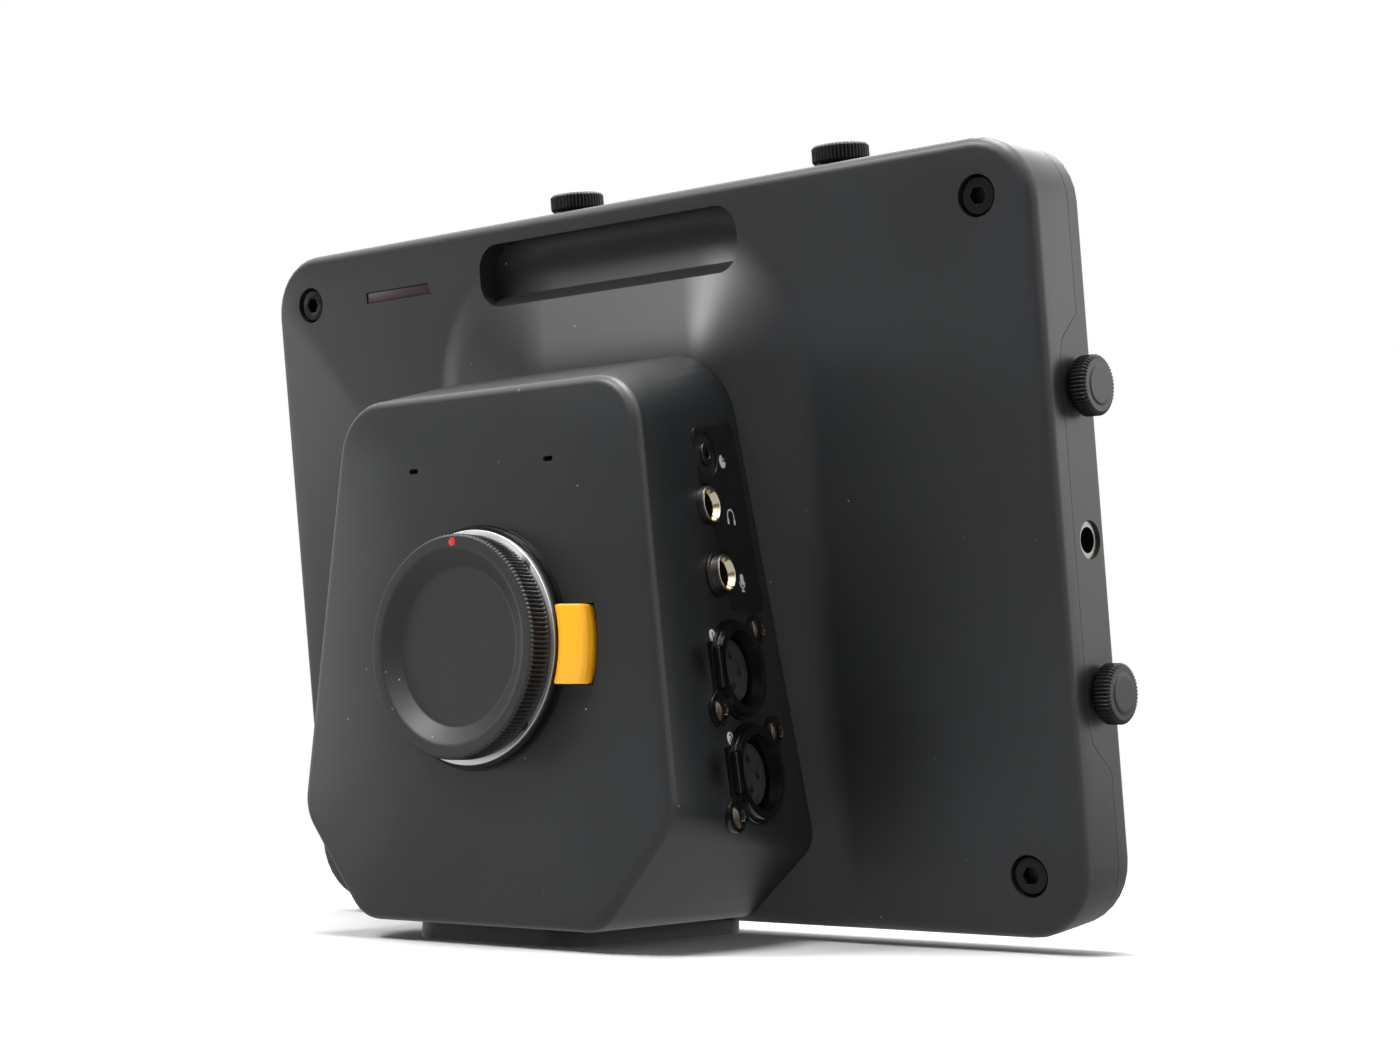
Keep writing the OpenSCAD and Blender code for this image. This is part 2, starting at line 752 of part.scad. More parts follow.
module tray_rear(thick) {
    loft(concat(
        [front_ring(tray_ring(rear_edge_r, 90), panel_t - thick)],
        [for (k = [edge_steps:-1:0]) let (a = 90 * k / edge_steps)
            front_ring(tray_ring(rear_edge_r, a), panel_t - rear_edge_r * (1 - cos(a)))]));
}

module tray_hollow(from, to) {
    slab(from, to) translate([0, panel_h / 2])
        rounded_rect(panel_w - 2 * tray_wall, panel_h - 2 * tray_wall, panel_corner_r - tray_wall);
}

// End shape of a tab: place along the rim against depth
function tab_shape(low, high, grow) = [
    [low - grow, seam_depth + overrun], [low - grow, seam_depth],
    [low + tab_ramp + tab_bend_depth - tab_depth - grow, tab_bend_depth - grow],
    [low + tab_ramp + tab_shallow + tab_bend_depth - tab_depth - grow, tab_depth - grow],
    [high - tab_ramp - tab_shallow + grow, tab_depth - grow],
    [high - tab_ramp + grow, tab_bend_depth - grow],
    [high + grow, seam_depth], [high + grow, seam_depth + overrun]];

// Space that the tabs of the rear housing take out of the front housing's rim
module tab_space(grow) {
    side_shape = tab_shape(side_tab_low, side_tab_high, grow);
    top_shape = tab_shape(top_tab_left, top_tab_right, grow);
    for (x = [-1, 1])
        translate([x * (panel_w - tray_wall + seam_gap) / 2, 0, 0])
            rotate([0, -90, 0])
                linear_extrude(tray_wall + overrun, center = true)
                    polygon(side_shape);
    translate([0, 0, panel_h - (tray_wall - seam_gap) / 2])
        linear_extrude(tray_wall + overrun, center = true) polygon(top_shape);
}

// Outline of the nose on its flat face and of its root on the tray
nose_face_low = nose_floor_z + nose_edge_r;
nose_face = [[-nose_foot_half, nose_face_low], [nose_foot_half, nose_face_low],
    [nose_side_half, nose_side_z], [nose_top_half, nose_top_z],
    [-nose_top_half, nose_top_z], [-nose_side_half, nose_side_z]];
nose_face_radii = [nose_foot_r, nose_foot_r, nose_side_r, nose_top_r, nose_top_r, nose_side_r];
nose_root = [[-root_left_foot, root_floor_h], [root_right_foot, root_floor_h],
    [root_right_low, root_side_h], [root_right_top, root_top_h],
    [-root_left, root_top_h], [-root_left, root_side_h]];
nose_root_radii = [root_low_r, root_low_r, root_low_r, root_top_right_r, root_top_left_r,
    root_low_r];
function grown(radii, d) = [for (r = radii) r + d];

module nose_skin() {
    loft(concat(
        [for (k = [0:edge_steps])
            let (a = 90 * k / edge_steps, out = nose_edge_r * sin(a))
            front_ring(rounded(inset(nose_face, -out), grown(nose_face_radii, out), wall_steps),
                nose_front_y + nose_edge_r * (1 - cos(a)))],
        [panel_ring(rounded(nose_root, nose_root_radii, wall_steps), nose_sink)]));
}

module nose_hollow() {
    sunk = nose_wall - nose_edge_r;
    loft([
        front_ring(rounded(inset(nose_face, sunk), grown(nose_face_radii, -sunk)),
            nose_front_y + nose_wall),
        panel_ring(rounded(inset(nose_root, nose_wall), grown(nose_root_radii, -nose_wall)),
            tray_wall + overrun)]);
}

// The nose's side walls are straight lines from the front edge to the root
nose_edge_y = nose_front_y + nose_edge_r;
function slope_h(z) = (z - panel_foot_z) / cos(panel_tilt);
function root_y(z) = panel_foot_y - slope_h(z) * sin(panel_tilt);
function front_half(z) = nose_edge_r + nose_top_half
    + (nose_top_z - z) * (nose_side_half - nose_top_half) / (nose_top_z - nose_side_z);
function right_root_half(z) = root_right_top
    + (root_top_h - slope_h(z)) * (root_right_low - root_right_top) / (root_top_h - root_side_h);
function root_half(side, z) = side > 0 ? right_root_half(z) : root_left;
function run_share(y, z) = (y - nose_edge_y) / (root_y(z) - nose_edge_y);
function wall_x(side, y, z) = front_half(z)
    + (root_half(side, z) - front_half(z)) * run_share(y, z);
function wall_yaw(side, z) = atan((front_half(z) - root_half(side, z)) / (root_y(z) - nose_edge_y));
function wall_lean(side, y, z) =
    atan((wall_x(side, y, z - probe) - wall_x(side, y, z + probe)) / (2 * probe));

// A frame on a side wall: X leaves the wall, Y runs to the rear and Z runs up
module on_wall(side, y, z) {
    mirror([side > 0 ? 0 : 1, 0, 0])
        translate([wall_x(side, y, z), y, z])
            rotate([0, -wall_lean(side, y, z), wall_yaw(side, z)]) children();
}

module out_rod(r, from, to) {
    translate([from, 0, 0]) rotate([0, 90, 0]) cylinder(r = r, h = to - from);
}

module out_slab(from, to) {
    translate([from, 0, 0]) rotate([90, 0, 90]) linear_extrude(to - from) children();
}

// The lens frame: Z leaves the nose's face, Y runs up
module on_lens() {
    translate([0, nose_front_y, lens_z]) rotate([90, 0, 0]) children();
}

module ring(outer, inner, from, to) {
    translate([0, 0, from]) difference() {
        cylinder(r = outer, h = to - from);
        translate([0, 0, -overrun]) cylinder(r = inner, h = to - from + 2 * overrun);
    }
}

// A flat sector of a circle, centred on an angle
module sector(r, centre, span) {
    far = 2 * r;
    intersection() {
        circle(r);
        polygon([[0, 0], for (k = [-2:2]) far * [cos(centre + span * k / 4),
            sin(centre + span * k / 4)]]);
    }
}

// Base
base_screw_places = [
    for (x = [base_left + base_screw_in, base_right - base_screw_in],
        y = [base_front + base_screw_in, base_screw_rear]) [x, y]];

module base_outline(grow) {
    translate([(base_left + base_right) / 2, (base_front + base_rear) / 2])
        rounded_rect(base_right - base_left + 2 * grow, base_rear - base_front + 2 * grow,
            base_r + grow);
}

module base_seat() {
    translate([0, 0, -overrun]) linear_extrude(nose_floor_z + overrun) base_outline(fit_gap);
}

module base_plate() {
    color(casting) difference() {
        linear_extrude(nose_floor_z) base_outline(0);
        translate([0, 0, -overrun])
            cylinder(r = quarter_thread_r, h = nose_floor_z + 2 * overrun);
        translate([-large_thread_step, 0, -overrun])
            cylinder(r = large_thread_r, h = nose_floor_z + 2 * overrun);
        for (p = base_screw_places) translate([p[0], p[1], 0]) {
            translate([0, 0, -overrun])
                cylinder(r = base_shank_r + fit_gap, h = nose_floor_z + 2 * overrun);
            translate([0, 0, -overrun])
                cylinder(r = base_head_r + fit_gap, h = base_head_h + 2 * fit_gap + overrun);
        }
    }
}

module base_screws() {
    color(plastic) for (p = base_screw_places) translate([p[0], p[1], 0]) difference() {
        union() {
            translate([0, 0, 2 * fit_gap]) cylinder(r = base_head_r, h = base_head_h);
            translate([0, 0, 2 * fit_gap]) cylinder(r = base_shank_r, h = base_screw_l);
        }
        translate([0, 0, 2 * fit_gap - overrun])
            cylinder(r = base_shank_r / cos(30), h = overrun + base_head_h / 2, $fn = 6);
    }
}

// Corner screws
corner_places = [for (s = [-1, 1], h = [corner_screw_low, corner_screw_high])
    [s * corner_screw_s, h]];
corner_seat = corner_sunk + corner_head_h;
corner_boss_to = corner_seat + tray_wall;

module corner_screws() {
    color(plastic) on_panel() for (p = corner_places) difference() {
        union() {
            depth_rod(p[0], p[1], corner_head_r, corner_sunk, corner_seat);
            depth_rod(p[0], p[1], corner_shank_r, corner_seat - fit_gap,
                corner_seat + corner_shank_l);
        }
        translate([p[0], corner_sunk + hex_depth, p[1]]) rotate([90, 0, 0])
            cylinder(r = hex_flats / 2 / cos(30), h = hex_depth + overrun, $fn = 6);
    }
}

// Handle recess, drawn in the tray's frame
module handle_side(from_depth, to_depth, low, high, ramp) {
    translate([handle_s - handle_w / 2 - handle_wall, 0, 0]) rotate([90, 0, 90])
        linear_extrude(handle_w + 2 * handle_wall)
            polygon([[from_depth, low], [to_depth, low + ramp], [to_depth, high],
                [from_depth, high]]);
}

module handle_outline(low, high, grow) {
    translate([handle_s, (low + high) / 2])
        rounded_rect(handle_w + 2 * grow, high - low + 2 * grow, handle_r + grow);
}

module handle_space() {
    mouth_slope = handle_ramp * (handle_depth + overrun) / handle_depth;
    intersection() {
        slab(-overrun, handle_depth) handle_outline(handle_low, handle_high, 0);
        handle_side(-overrun, handle_depth, handle_low - mouth_slope + handle_ramp,
            handle_high + overrun, mouth_slope);
    }
    slab(tray_wall, handle_depth)
        translate([handle_s, handle_high])
            square([handle_w - 2 * handle_r, 2 * handle_hook], center = true);
}

module handle_shell() {
    slab(tray_wall / 2, handle_depth + handle_wall)
        handle_outline(handle_low, handle_high + handle_hook, handle_wall);
}

// Front housing
module tally_shape(grow) {
    polygon([[tally_left - grow, tally_low - grow], [tally_right + grow, tally_low - grow],
        [tally_right - tally_slant + grow, tally_high + grow],
        [tally_left - grow, tally_high + grow]]);
}

main_board_places = [for (s = [-1, 1], h = [main_board_low + board_screw_in,
    main_board_low + main_board_h - board_screw_in])
    [s * (main_board_w / 2 - board_screw_in), h]];

module release_outline(grow) {
    top = release_half + grow;
    intersection() {
        difference() {
            circle(release_outer_r + grow);
            circle(release_inner_r - grow);
        }
        translate([release_outer_r + grow - 2 * top + release_corner_r, 0])
            rounded_rect(4 * top, 2 * top, release_corner_r);
    }
}

module release_shelf_outline(grow) {
    intersection() {
        difference() {
            circle(release_inner_r + overrun);
            circle(release_shelf_r - grow);
        }
        translate([0, -release_half - grow])
            square([release_outer_r, 2 * (release_half + grow)]);
    }
}

module mic_slot(side) {
    translate([side * mic_x, mic_z - lens_z]) {
        square([mic_slot_w - mic_slot_h, mic_slot_h], center = true);
        for (x = [-1, 1]) translate([x * (mic_slot_w - mic_slot_h) / 2, 0]) circle(mic_slot_h / 2);
    }
}

module front_shell() {
    difference() {
        union() {
            on_panel() difference() {
                tray_front(seam_depth);
                difference() {
                    tray_hollow(tray_wall, seam_depth + overrun);
                    for (p = corner_places) depth_rod(p[0], p[1], corner_bore_r + boss_wall,
                        tray_wall - overrun, corner_boss_to);
                    for (p = main_board_places)
                        depth_rod(p[0], p[1], board_post_r, 0, main_board_depth);
                    handle_shell();
                }
                tab_space(seam_gap);
            }
            nose_skin();
        }
        nose_hollow();
    }
    for (p = base_screw_places)
        translate([p[0], p[1], nose_floor_z + nose_wall - overrun])
            cylinder(r = base_shank_r + boss_wall, h = base_screw_l - nose_floor_z + overrun);
}

module front_housing() {
    color(casting) difference() {
        front_shell();
        base_seat();
        for (p = base_screw_places) translate([p[0], p[1], 0])
            cylinder(r = base_shank_r + fit_gap, h = base_screw_l + 4 * fit_gap);
        on_panel() {
            handle_space();
            slab(-overrun, tray_wall + overrun) tally_shape(fit_gap);
            for (p = corner_places) {
                depth_rod(p[0], p[1], corner_bore_r, -overrun, corner_seat);
                depth_rod(p[0], p[1], corner_shank_r + fit_gap, 0, corner_boss_to + overrun);
            }
        }
        on_lens() {
            translate([0, 0, -nose_wall - overrun])
                cylinder(r = mount_neck_r + fit_gap, h = nose_wall + 2 * overrun);
            translate([0, 0, -nose_wall - overrun]) linear_extrude(nose_wall + 2 * overrun) {
                release_outline(move_gap);
                release_shelf_outline(move_gap);
                for (side = [-1, 1]) mic_slot(side);
            }
        }
        wall_cuts();
    }
}

// Holes and flat seats for the sockets on the side walls
module wall_cuts() {
    for (j = jacks) on_wall(1, j[0], j[1]) {
        out_rod(j[2] + fit_gap, -nose_wall - 2 * overrun, overrun);
        out_rod(jack_body_r + fit_gap, -jack_body_l - overrun, -nose_wall / 2);
    }
    for (p = xlr_places) on_wall(1, p[0], p[1]) {
        out_rod(xlr_bore_r + boss_wall + fit_gap, -xlr_barrel_l - overrun, overrun);
        out_slab(-seat_sunk, 2 * overrun) xlr_outline(fit_gap);
        latch_box(move_gap, -xlr_insert_sunk - latch_travel - 2 * move_gap, overrun);
        for (k = [-1, 1]) translate([0, k * xlr_screw_y, k * xlr_screw_z])
            out_rod(xlr_shank_r + fit_gap, -nose_wall - 2 * overrun, overrun);
    }
    label_seat();
    for (z = coax_places) on_wall(-1, left_y, z) {
        out_rod(coax_r + fit_gap, -coax_body_l - overrun, overrun);
        out_rod(coax_nut_r + fit_gap, 0, 3 * overrun);
    }
    on_wall(-1, left_y, optical_z)
        out_slab(-optical_l - overrun, overrun)
            square([optical_w + 2 * fit_gap, optical_h + 2 * fit_gap], center = true);
    on_wall(-1, left_y, power_z) out_rod(power_r + fit_gap, -power_l - overrun, overrun);
    left_plate_seat();
}

module tally_window() {
    color("#3a1414") on_panel() slab(tally_sunk, tally_sunk + tally_t) tally_shape(0);
}

module tally_board() {
    color(board_green) on_panel() slab(tray_wall + fit_gap, tray_wall + fit_gap + board_t)
        translate([(tally_left + tally_right) / 2, (tally_low + tally_high) / 2])
            square([tally_right - tally_left + 2 * tray_wall, 4 * (tally_high - tally_low)],
                center = true);
}

// Threaded bushes, their bosses and the thumbscrews that turn in them
module at_side(side, h) {
    translate([side * panel_w / 2, thread_depth, h])
        rotate([0, side * 90, 0]) children();
}

module at_top(s) {
    translate([s, thread_depth, panel_h]) children();
}

module each_thread() {
    for (side = [-1, 1], h = [side_screw_low, side_thread_h, side_screw_high])
        at_side(side, h) children();
    for (s = [top_screw_left, top_screw_right]) at_top(s) children();
}

module thread_inserts() {
    color(brass) on_panel() each_thread()
        ring(insert_r, quarter_thread_r, -insert_sunk - insert_l, -insert_sunk);
}

thumb_shank_l = insert_sunk + insert_l - move_gap;
module thumbscrew() {
    color(plastic) {
        translate([0, 0, -thumb_shank_l])
            cylinder(r = quarter_thread_r - thread_clearance, h = thumb_shank_l + move_gap + overrun);
        translate([0, 0, move_gap]) cylinder(r = thumb_neck_r, h = thumb_neck_h + overrun);
        translate([0, 0, move_gap + thumb_neck_h]) {
            cylinder(r1 = thumb_r - thumb_chamfer, r2 = thumb_r, h = thumb_chamfer);
            translate([0, 0, thumb_chamfer])
                cylinder(r = thumb_r, h = thumb_h - 2 * thumb_chamfer);
            translate([0, 0, thumb_h - thumb_chamfer])
                cylinder(r1 = thumb_r, r2 = thumb_r - thumb_chamfer, h = thumb_chamfer);
        }
    }
}

module thumbscrew_top_left() { on_panel() at_top(top_screw_left) thumbscrew(); }
module thumbscrew_top_right() { on_panel() at_top(top_screw_right) thumbscrew(); }
module thumbscrew_right_upper() { on_panel() at_side(1, side_screw_high) thumbscrew(); }
module thumbscrew_right_lower() { on_panel() at_side(1, side_screw_low) thumbscrew(); }
module thumbscrew_left_upper() { on_panel() at_side(-1, side_screw_high) thumbscrew(); }
module thumbscrew_left_lower() { on_panel() at_side(-1, side_screw_low) thumbscrew(); }

// Rear housing
glass_from = panel_t - glass_t - fit_gap;
window_floor = glass_from - fit_gap;
rear_wall_from = panel_t - tray_wall;
lcd_from = rear_wall_from - move_gap - lcd_t;
rear_boss_from = corner_boss_to + move_gap;
boss_l = insert_sunk + insert_l + boss_wall;

// The display fills the room that the bosses leave
lcd_w = panel_w - 2 * (boss_l + lcd_side_gap);
lcd_h = 2 * (panel_h - boss_l - lcd_top_gap - lcd_mid);

module rear_housing() {
    color("#2a2c2e") difference() {
        union() {
            on_panel() difference() {
                tray_rear(panel_t - seam_depth - seam_gap);
                tray_hollow(0, rear_wall_from);
            }
            on_panel() intersection() {
                difference() {
                    tray_front(seam_depth + 2 * seam_gap);
                    tray_hollow(0, panel_t);
                }
                tab_space(0);
            }
            on_panel() {
                for (p = corner_places) depth_rod(p[0], p[1], corner_shank_r + rear_boss_wall,
                    rear_boss_from, rear_wall_from + overrun);
                each_thread() translate([0, 0, -boss_l]) cylinder(r = boss_r, h = boss_l - overrun);
                for (s = button_board_posts) depth_rod(s, button_row_h, button_post_r,
                    button_board_depth + board_t, rear_wall_from + overrun);
            }
        }
        on_panel() {
            each_thread() translate([0, 0, -insert_sunk - insert_l])
                cylinder(r = insert_r + fit_gap / 2, h = insert_sunk + insert_l + overrun);
            for (p = corner_places) depth_rod(p[0], p[1], corner_shank_r + fit_gap / 2,
                rear_boss_from - overrun, corner_seat + corner_shank_l + fit_gap);
            translate([0, 0, lcd_mid]) {
                slab(rear_wall_from - overrun, panel_t + overrun)
                    square([picture_w + 2 * tray_wall, picture_h + 2 * tray_wall], center = true);
                slab(window_floor, panel_t + overrun)
                    rounded_rect(glass_w + 2 * fit_gap, glass_h + 2 * fit_gap, glass_r + fit_gap);
            }
            for (s = button_places) depth_rod(s, button_row_h, button_r + move_gap,
                rear_wall_from - overrun, panel_t + overrun);
            for (side = [-1, 1], k = [0:vent_count - 1])
                translate([side * vent_s + (k - (vent_count - 1) / 2) * vent_pitch,
                    panel_t - tray_wall - vent_l / 2 + fit_gap, 0])
                    cube([vent_w, vent_l - 2 * fit_gap, 4 * tray_wall], center = true);
        }
        base_seat();
    }
}

module cover_glass() {
    color("#101418") on_panel() translate([0, 0, lcd_mid])
        slab(glass_from, glass_from + glass_t) rounded_rect(glass_w, glass_h, glass_r);
}

module lcd_module() {
    color("#222222") on_panel() translate([0, 0, lcd_mid])
        slab(lcd_from, lcd_from + lcd_t) square([lcd_w, lcd_h], center = true);
}

// Rear buttons, left to right as seen from behind
button_places = [for (k = [0:button_count - 1]) (k - (button_count - 1) / 2) * button_pitch];
button_board_posts = [(button_places[0] + button_places[1]) / 2,
    (button_places[button_count - 1] + button_places[button_count - 2]) / 2];
button_stem_to = button_board_depth + board_t + button_travel + move_gap;

module rear_button(place) {
    flange_to = rear_wall_from - move_gap;
    color(plastic) on_panel() {
        depth_rod(button_places[place], button_row_h, button_r, flange_to - button_flange_t,
            panel_t + button_out);
        depth_rod(button_places[place], button_row_h, button_flange_r,
            flange_to - button_flange_t, flange_to);
        depth_rod(button_places[place], button_row_h, button_stem_r, button_stem_to,
            flange_to);
    }
}

module button_power() { rear_button(6); }
module button_menu() { rear_button(5); }
module button_down() { rear_button(4); }
module button_up() { rear_button(3); }
module button_display() { rear_button(2); }
module button_focus() { rear_button(1); }
module button_iris() { rear_button(0); }

module button_board() {
    color(board_green) on_panel() translate([0, 0, button_row_h])
        slab(button_board_depth, button_board_depth + board_t)
            square([button_board_w, button_board_h], center = true);
}

// Lens mount: black ring, bright bayonet ring and its screws
mount_back = -nose_wall - fit_gap;
mount_screw_angles = [for (k = [0:3]) 45 + 90 * k];
bayonet_angles = [for (k = [0:bayonet_tabs - 1]) 90 + 360 * k / bayonet_tabs];

module mount_ring() {
    color(plastic) on_lens() difference() {
        union() {
            ring(mount_lip_r, sleeve_r + fit_gap, 0, mount_lip_t);
            ring(mount_ring_r, sleeve_r + fit_gap, 0, mount_ring_out);
            ring(mount_neck_r, sleeve_r + fit_gap, mount_back, mount_lip_t);
        }
        mount_screw_holes(mount_back - overrun, mount_ring_out + overrun);
    }
}

module mount_screw_holes(from, to) {
    for (a = mount_screw_angles) rotate([0, 0, a]) translate([mount_screw_pitch_r, 0, from])
        cylinder(r = mount_shank_r + fit_gap / 2, h = to - from);
}

module bayonet_ring() {
    color("#d8dade") on_lens() difference() {
        union() {
            ring(bayonet_r, bayonet_bore_r, mount_ring_out, flange_out);
            ring(sleeve_r, bayonet_bore_r, mount_back, flange_out);
            translate([0, 0, mount_ring_out - bayonet_tab_t]) linear_extrude(bayonet_tab_t)
                for (a = bayonet_angles) difference() {
                    sector((bayonet_bore_r + sleeve_r) / 2, a, bayonet_tab_angle);
                    circle(bayonet_tab_r);
                }
        }
        mount_screw_holes(mount_back - overrun, flange_out + overrun);
        for (a = mount_screw_angles) rotate([0, 0, a])
            translate([mount_screw_pitch_r, 0, flange_out - (flange_out - mount_ring_out) / 2])
                cylinder(r = mount_head_r + fit_gap / 2, h = overrun);
        translate([lock_pin_place, 0, mount_back - overrun])
            cylinder(r = lock_pin_r + fit_gap / 2, h = flange_out - mount_back + 2 * overrun);
    }
}

module mount_screws() {
    head_from = flange_out - (flange_out - mount_ring_out) / 2;
    color(steel) on_lens() for (a = mount_screw_angles)
        rotate([0, 0, a]) translate([mount_screw_pitch_r, 0, 0]) {
            translate([0, 0, head_from])
                cylinder(r = mount_head_r, h = flange_out - head_from - fit_gap);
            translate([0, 0, flange_out - mount_screw_l])
                cylinder(r = mount_shank_r, h = mount_screw_l - fit_gap);
        }
}

// Body cap: dished front, knurled rim and three bayonet lugs
module body_cap() {
    back = flange_out + move_gap;
    floor_front = cap_out - cap_sunk;
    floor_back = floor_front - cap_floor_t;
    lug_to = mount_ring_out - bayonet_tab_t - move_gap;
    color("#1c1d1f") on_lens() {
        rotate_extrude() polygon([[0, floor_back], [cap_r - cap_wall, floor_back],
            [cap_r - cap_wall, back], [cap_r, back], [cap_r, cap_out],
            [cap_cone_r, cap_out], [cap_floor_r, floor_front], [0, floor_front]]);
        ring(cap_collar_r, cap_collar_r - cap_collar_wall, lug_to - cap_lug_t, floor_back + fit_gap);
        translate([0, 0, lug_to - cap_lug_t]) linear_extrude(cap_lug_t)
            for (a = bayonet_angles) difference() {
                sector(cap_lug_r, a + cap_lock_angle, cap_lug_angle);
                circle(cap_collar_r - cap_collar_wall);
            }
    }
}

// Lens release: the pad, its shelf and the flange that keeps it behind the wall
release_flange_to = -nose_wall - move_gap;
release_flange_from = release_flange_to - release_flange_t;

module lens_release() {
    color("#f5ab1d") on_lens() {
        translate([0, 0, release_flange_to]) linear_extrude(release_out - release_flange_to)
            release_outline(0);
        translate([0, 0, release_flange_to])
            linear_extrude(release_shelf_out - release_flange_to) release_shelf_outline(0);
        translate([0, 0, release_flange_from]) linear_extrude(release_flange_t) difference() {
            intersection() {
                circle(release_outer_r + release_flange_margin);
                translate([0, -release_half - release_flange_margin])
                    square([2 * release_outer_r, 2 * (release_half + release_flange_margin)]);
            }
            circle(mount_neck_r + 2 * move_gap);
        }
    }
}

module lock_pin() {
    arm_from = release_flange_from - release_flange_t;
    color(steel) on_lens() {
        translate([lock_pin_place, 0, arm_from])
            cylinder(r = lock_pin_r, h = flange_out + lock_pin_out - arm_from);
        translate([lock_pin_place - 2 * lock_pin_r, -lock_arm_half, arm_from])
            cube([release_inner_r - lock_pin_place + 2 * lock_pin_r, 2 * lock_arm_half,
                release_flange_t]);
    }
}

// Sensor group, hung behind the lens opening
sensor_out = flange_out - register;
frame_front = sensor_out + sensor_frame_t;

module centred_box(w, h, from, to) {
    translate([-w / 2, -h / 2, from]) cube([w, h, to - from]);
}

module sensor_frame() {
    color(steel) on_lens() {
        difference() {
            centred_box(sensor_frame_w, sensor_frame_h, sensor_out, frame_front);
            centred_box(gate_w, gate_h, sensor_out - overrun, frame_front + overrun);
            centred_box(filter_w + 2 * fit_gap, filter_h + 2 * fit_gap,
                frame_front - filter_t - fit_gap, frame_front + overrun);
        }
        for (x = [-1, 1], y = [-1, 1]) {
            translate([x * (sensor_frame_w / 2 - sensor_post_r),
                y * (sensor_frame_h / 2 - sensor_post_r), sensor_out])
                cylinder(r = sensor_post_r, h = -nose_wall - sensor_out);
            translate([x * (sensor_board_w / 2 - sensor_post_r),
                y * (sensor_board_h / 2 - sensor_post_r), sensor_out - sensor_t])
                cylinder(r = sensor_post_r, h = sensor_t + overrun);
        }
    }
}

module sensor_filter() {
    color("#8fb6c4") on_lens()
        centred_box(filter_w, filter_h, frame_front - filter_t, frame_front);
}

module image_sensor() {
    color("#35404a") on_lens()
        centred_box(sensor_w, sensor_h, sensor_out - sensor_t, sensor_out);
}

module sensor_board() {
    color(board_green) on_lens()
        centred_box(sensor_board_w, sensor_board_h, sensor_out - sensor_t - board_t,
            sensor_out - sensor_t);
}

module microphones() {
    color(steel) on_lens() for (side = [-1, 1])
        translate([side * mic_x, mic_z - lens_z, -nose_wall - mic_l - fit_gap])
            cylinder(r = mic_r, h = mic_l);
}

// Jack sockets: place behind the tripod thread, height and bush radius
jacks = [[remote_y, remote_z, remote_r], [phones_y, phones_z, jack_r], [talk_y, talk_z, jack_r]];

module label_points() {
    polygon(rounded([label_front_low, label_rear_low, label_rear_top, label_front_top],
        [label_r, label_r, label_r, label_r]));
}

module label_seat() {
    on_wall(1, phones_y, phones_z) out_slab(0, 2 * overrun) label_points();
}

module connector_plate() {
    color("#141516") difference() {
        on_wall(1, phones_y, phones_z) out_slab(0, label_t) label_points();
        for (j = jacks) on_wall(1, j[0], j[1]) out_rod(jack_washer_r + fit_gap, -overrun, overrun);
    }
}

module jack_body(bush_r, bore_r, out, bore_l, body_l) {
    difference() {
        union() {
            out_rod(bush_r, -nose_wall, out);
            out_rod(jack_body_r, -body_l, -nose_wall / 2 - fit_gap);
        }
        out_rod(bore_r, out - bore_l, out + overrun);
    }
}

module remote_jack() {
    color(plastic) on_wall(1, remote_y, remote_z)
        jack_body(remote_r, remote_bore_r, remote_out, jack_bore_l / 2, jack_body_l / 2);
}

module headphone_jack() {
    color(steel) on_wall(1, phones_y, phones_z)
        jack_body(jack_r, jack_bore_r, phones_out, jack_bore_l, jack_body_l);
}

module mic_jack() {
    color(steel) on_wall(1, talk_y, talk_z) {
        jack_body(jack_r, jack_bore_r, talk_out, jack_bore_l, jack_body_l);
        difference() {
            out_rod(jack_washer_r, fit_gap, jack_washer_t);
            out_rod(jack_bore_r, -overrun, 2 * overrun);
        }
    }
}

// XLR sockets
xlr_places = [[xlr_1_y, xlr_1_z], [xlr_2_y, xlr_2_z]];
seat_sunk = 0.5 * xlr_flange_out;
latch_place = xlr_bore_r + move_gap + latch_w / 2;

module xlr_outline(grow) {
    ear_l = norm([xlr_screw_y, xlr_screw_z]);
    guard = move_gap + latch_guard + grow;
    circle(xlr_flange_r + grow);
    translate([-latch_place, 0])
        square([latch_w + 2 * guard, 2 * (latch_half + guard)], center = true);
    rotate(atan2(xlr_screw_z, xlr_screw_y)) {
        square([2 * ear_l, 2 * (xlr_ear_r + grow)], center = true);
        for (k = [-1, 1]) translate([k * ear_l, 0]) circle(xlr_ear_r + grow);
    }
}

module xlr_shell(p) {
    color(plastic) on_wall(1, p[0], p[1]) difference() {
        union() {
            out_slab(-seat_sunk, xlr_flange_out) xlr_outline(0);
            out_rod(xlr_ring_r, -seat_sunk, xlr_ring_out);
            out_rod(xlr_bore_r + boss_wall, -xlr_barrel_l, 0);
        }
        out_rod(xlr_bore_r, -xlr_bore_l, xlr_ring_out + overrun);
        for (k = [-1, 1]) translate([0, k * xlr_screw_y, k * xlr_screw_z])
            out_rod(xlr_shank_r + fit_gap, -nose_wall - overrun, xlr_flange_out + overrun);
        latch_box(move_gap, -xlr_insert_sunk - latch_travel - 2 * move_gap,
            xlr_ring_out + overrun);
    }
}

module latch_box(grow, from, to) {
    translate([from, -latch_place - latch_w / 2 - grow, -latch_half - grow])
        cube([to - from, latch_w + 2 * grow, 2 * (latch_half + grow)]);
}

module xlr_insert(p) {
    color("#22242a") on_wall(1, p[0], p[1]) difference() {
        out_rod(xlr_insert_r, -xlr_bore_l, -xlr_insert_sunk);
        for (a = [0, 90, -90])
            translate([0, xlr_contact_place * cos(a), xlr_contact_place * sin(a)])
                out_rod(xlr_contact_r, -xlr_bore_l / 2 - xlr_insert_sunk, overrun);
    }
}

module xlr_latch(p) {
    color("#1a1b1d") on_wall(1, p[0], p[1])
        latch_box(0, -xlr_insert_sunk, xlr_ring_out - move_gap);
}

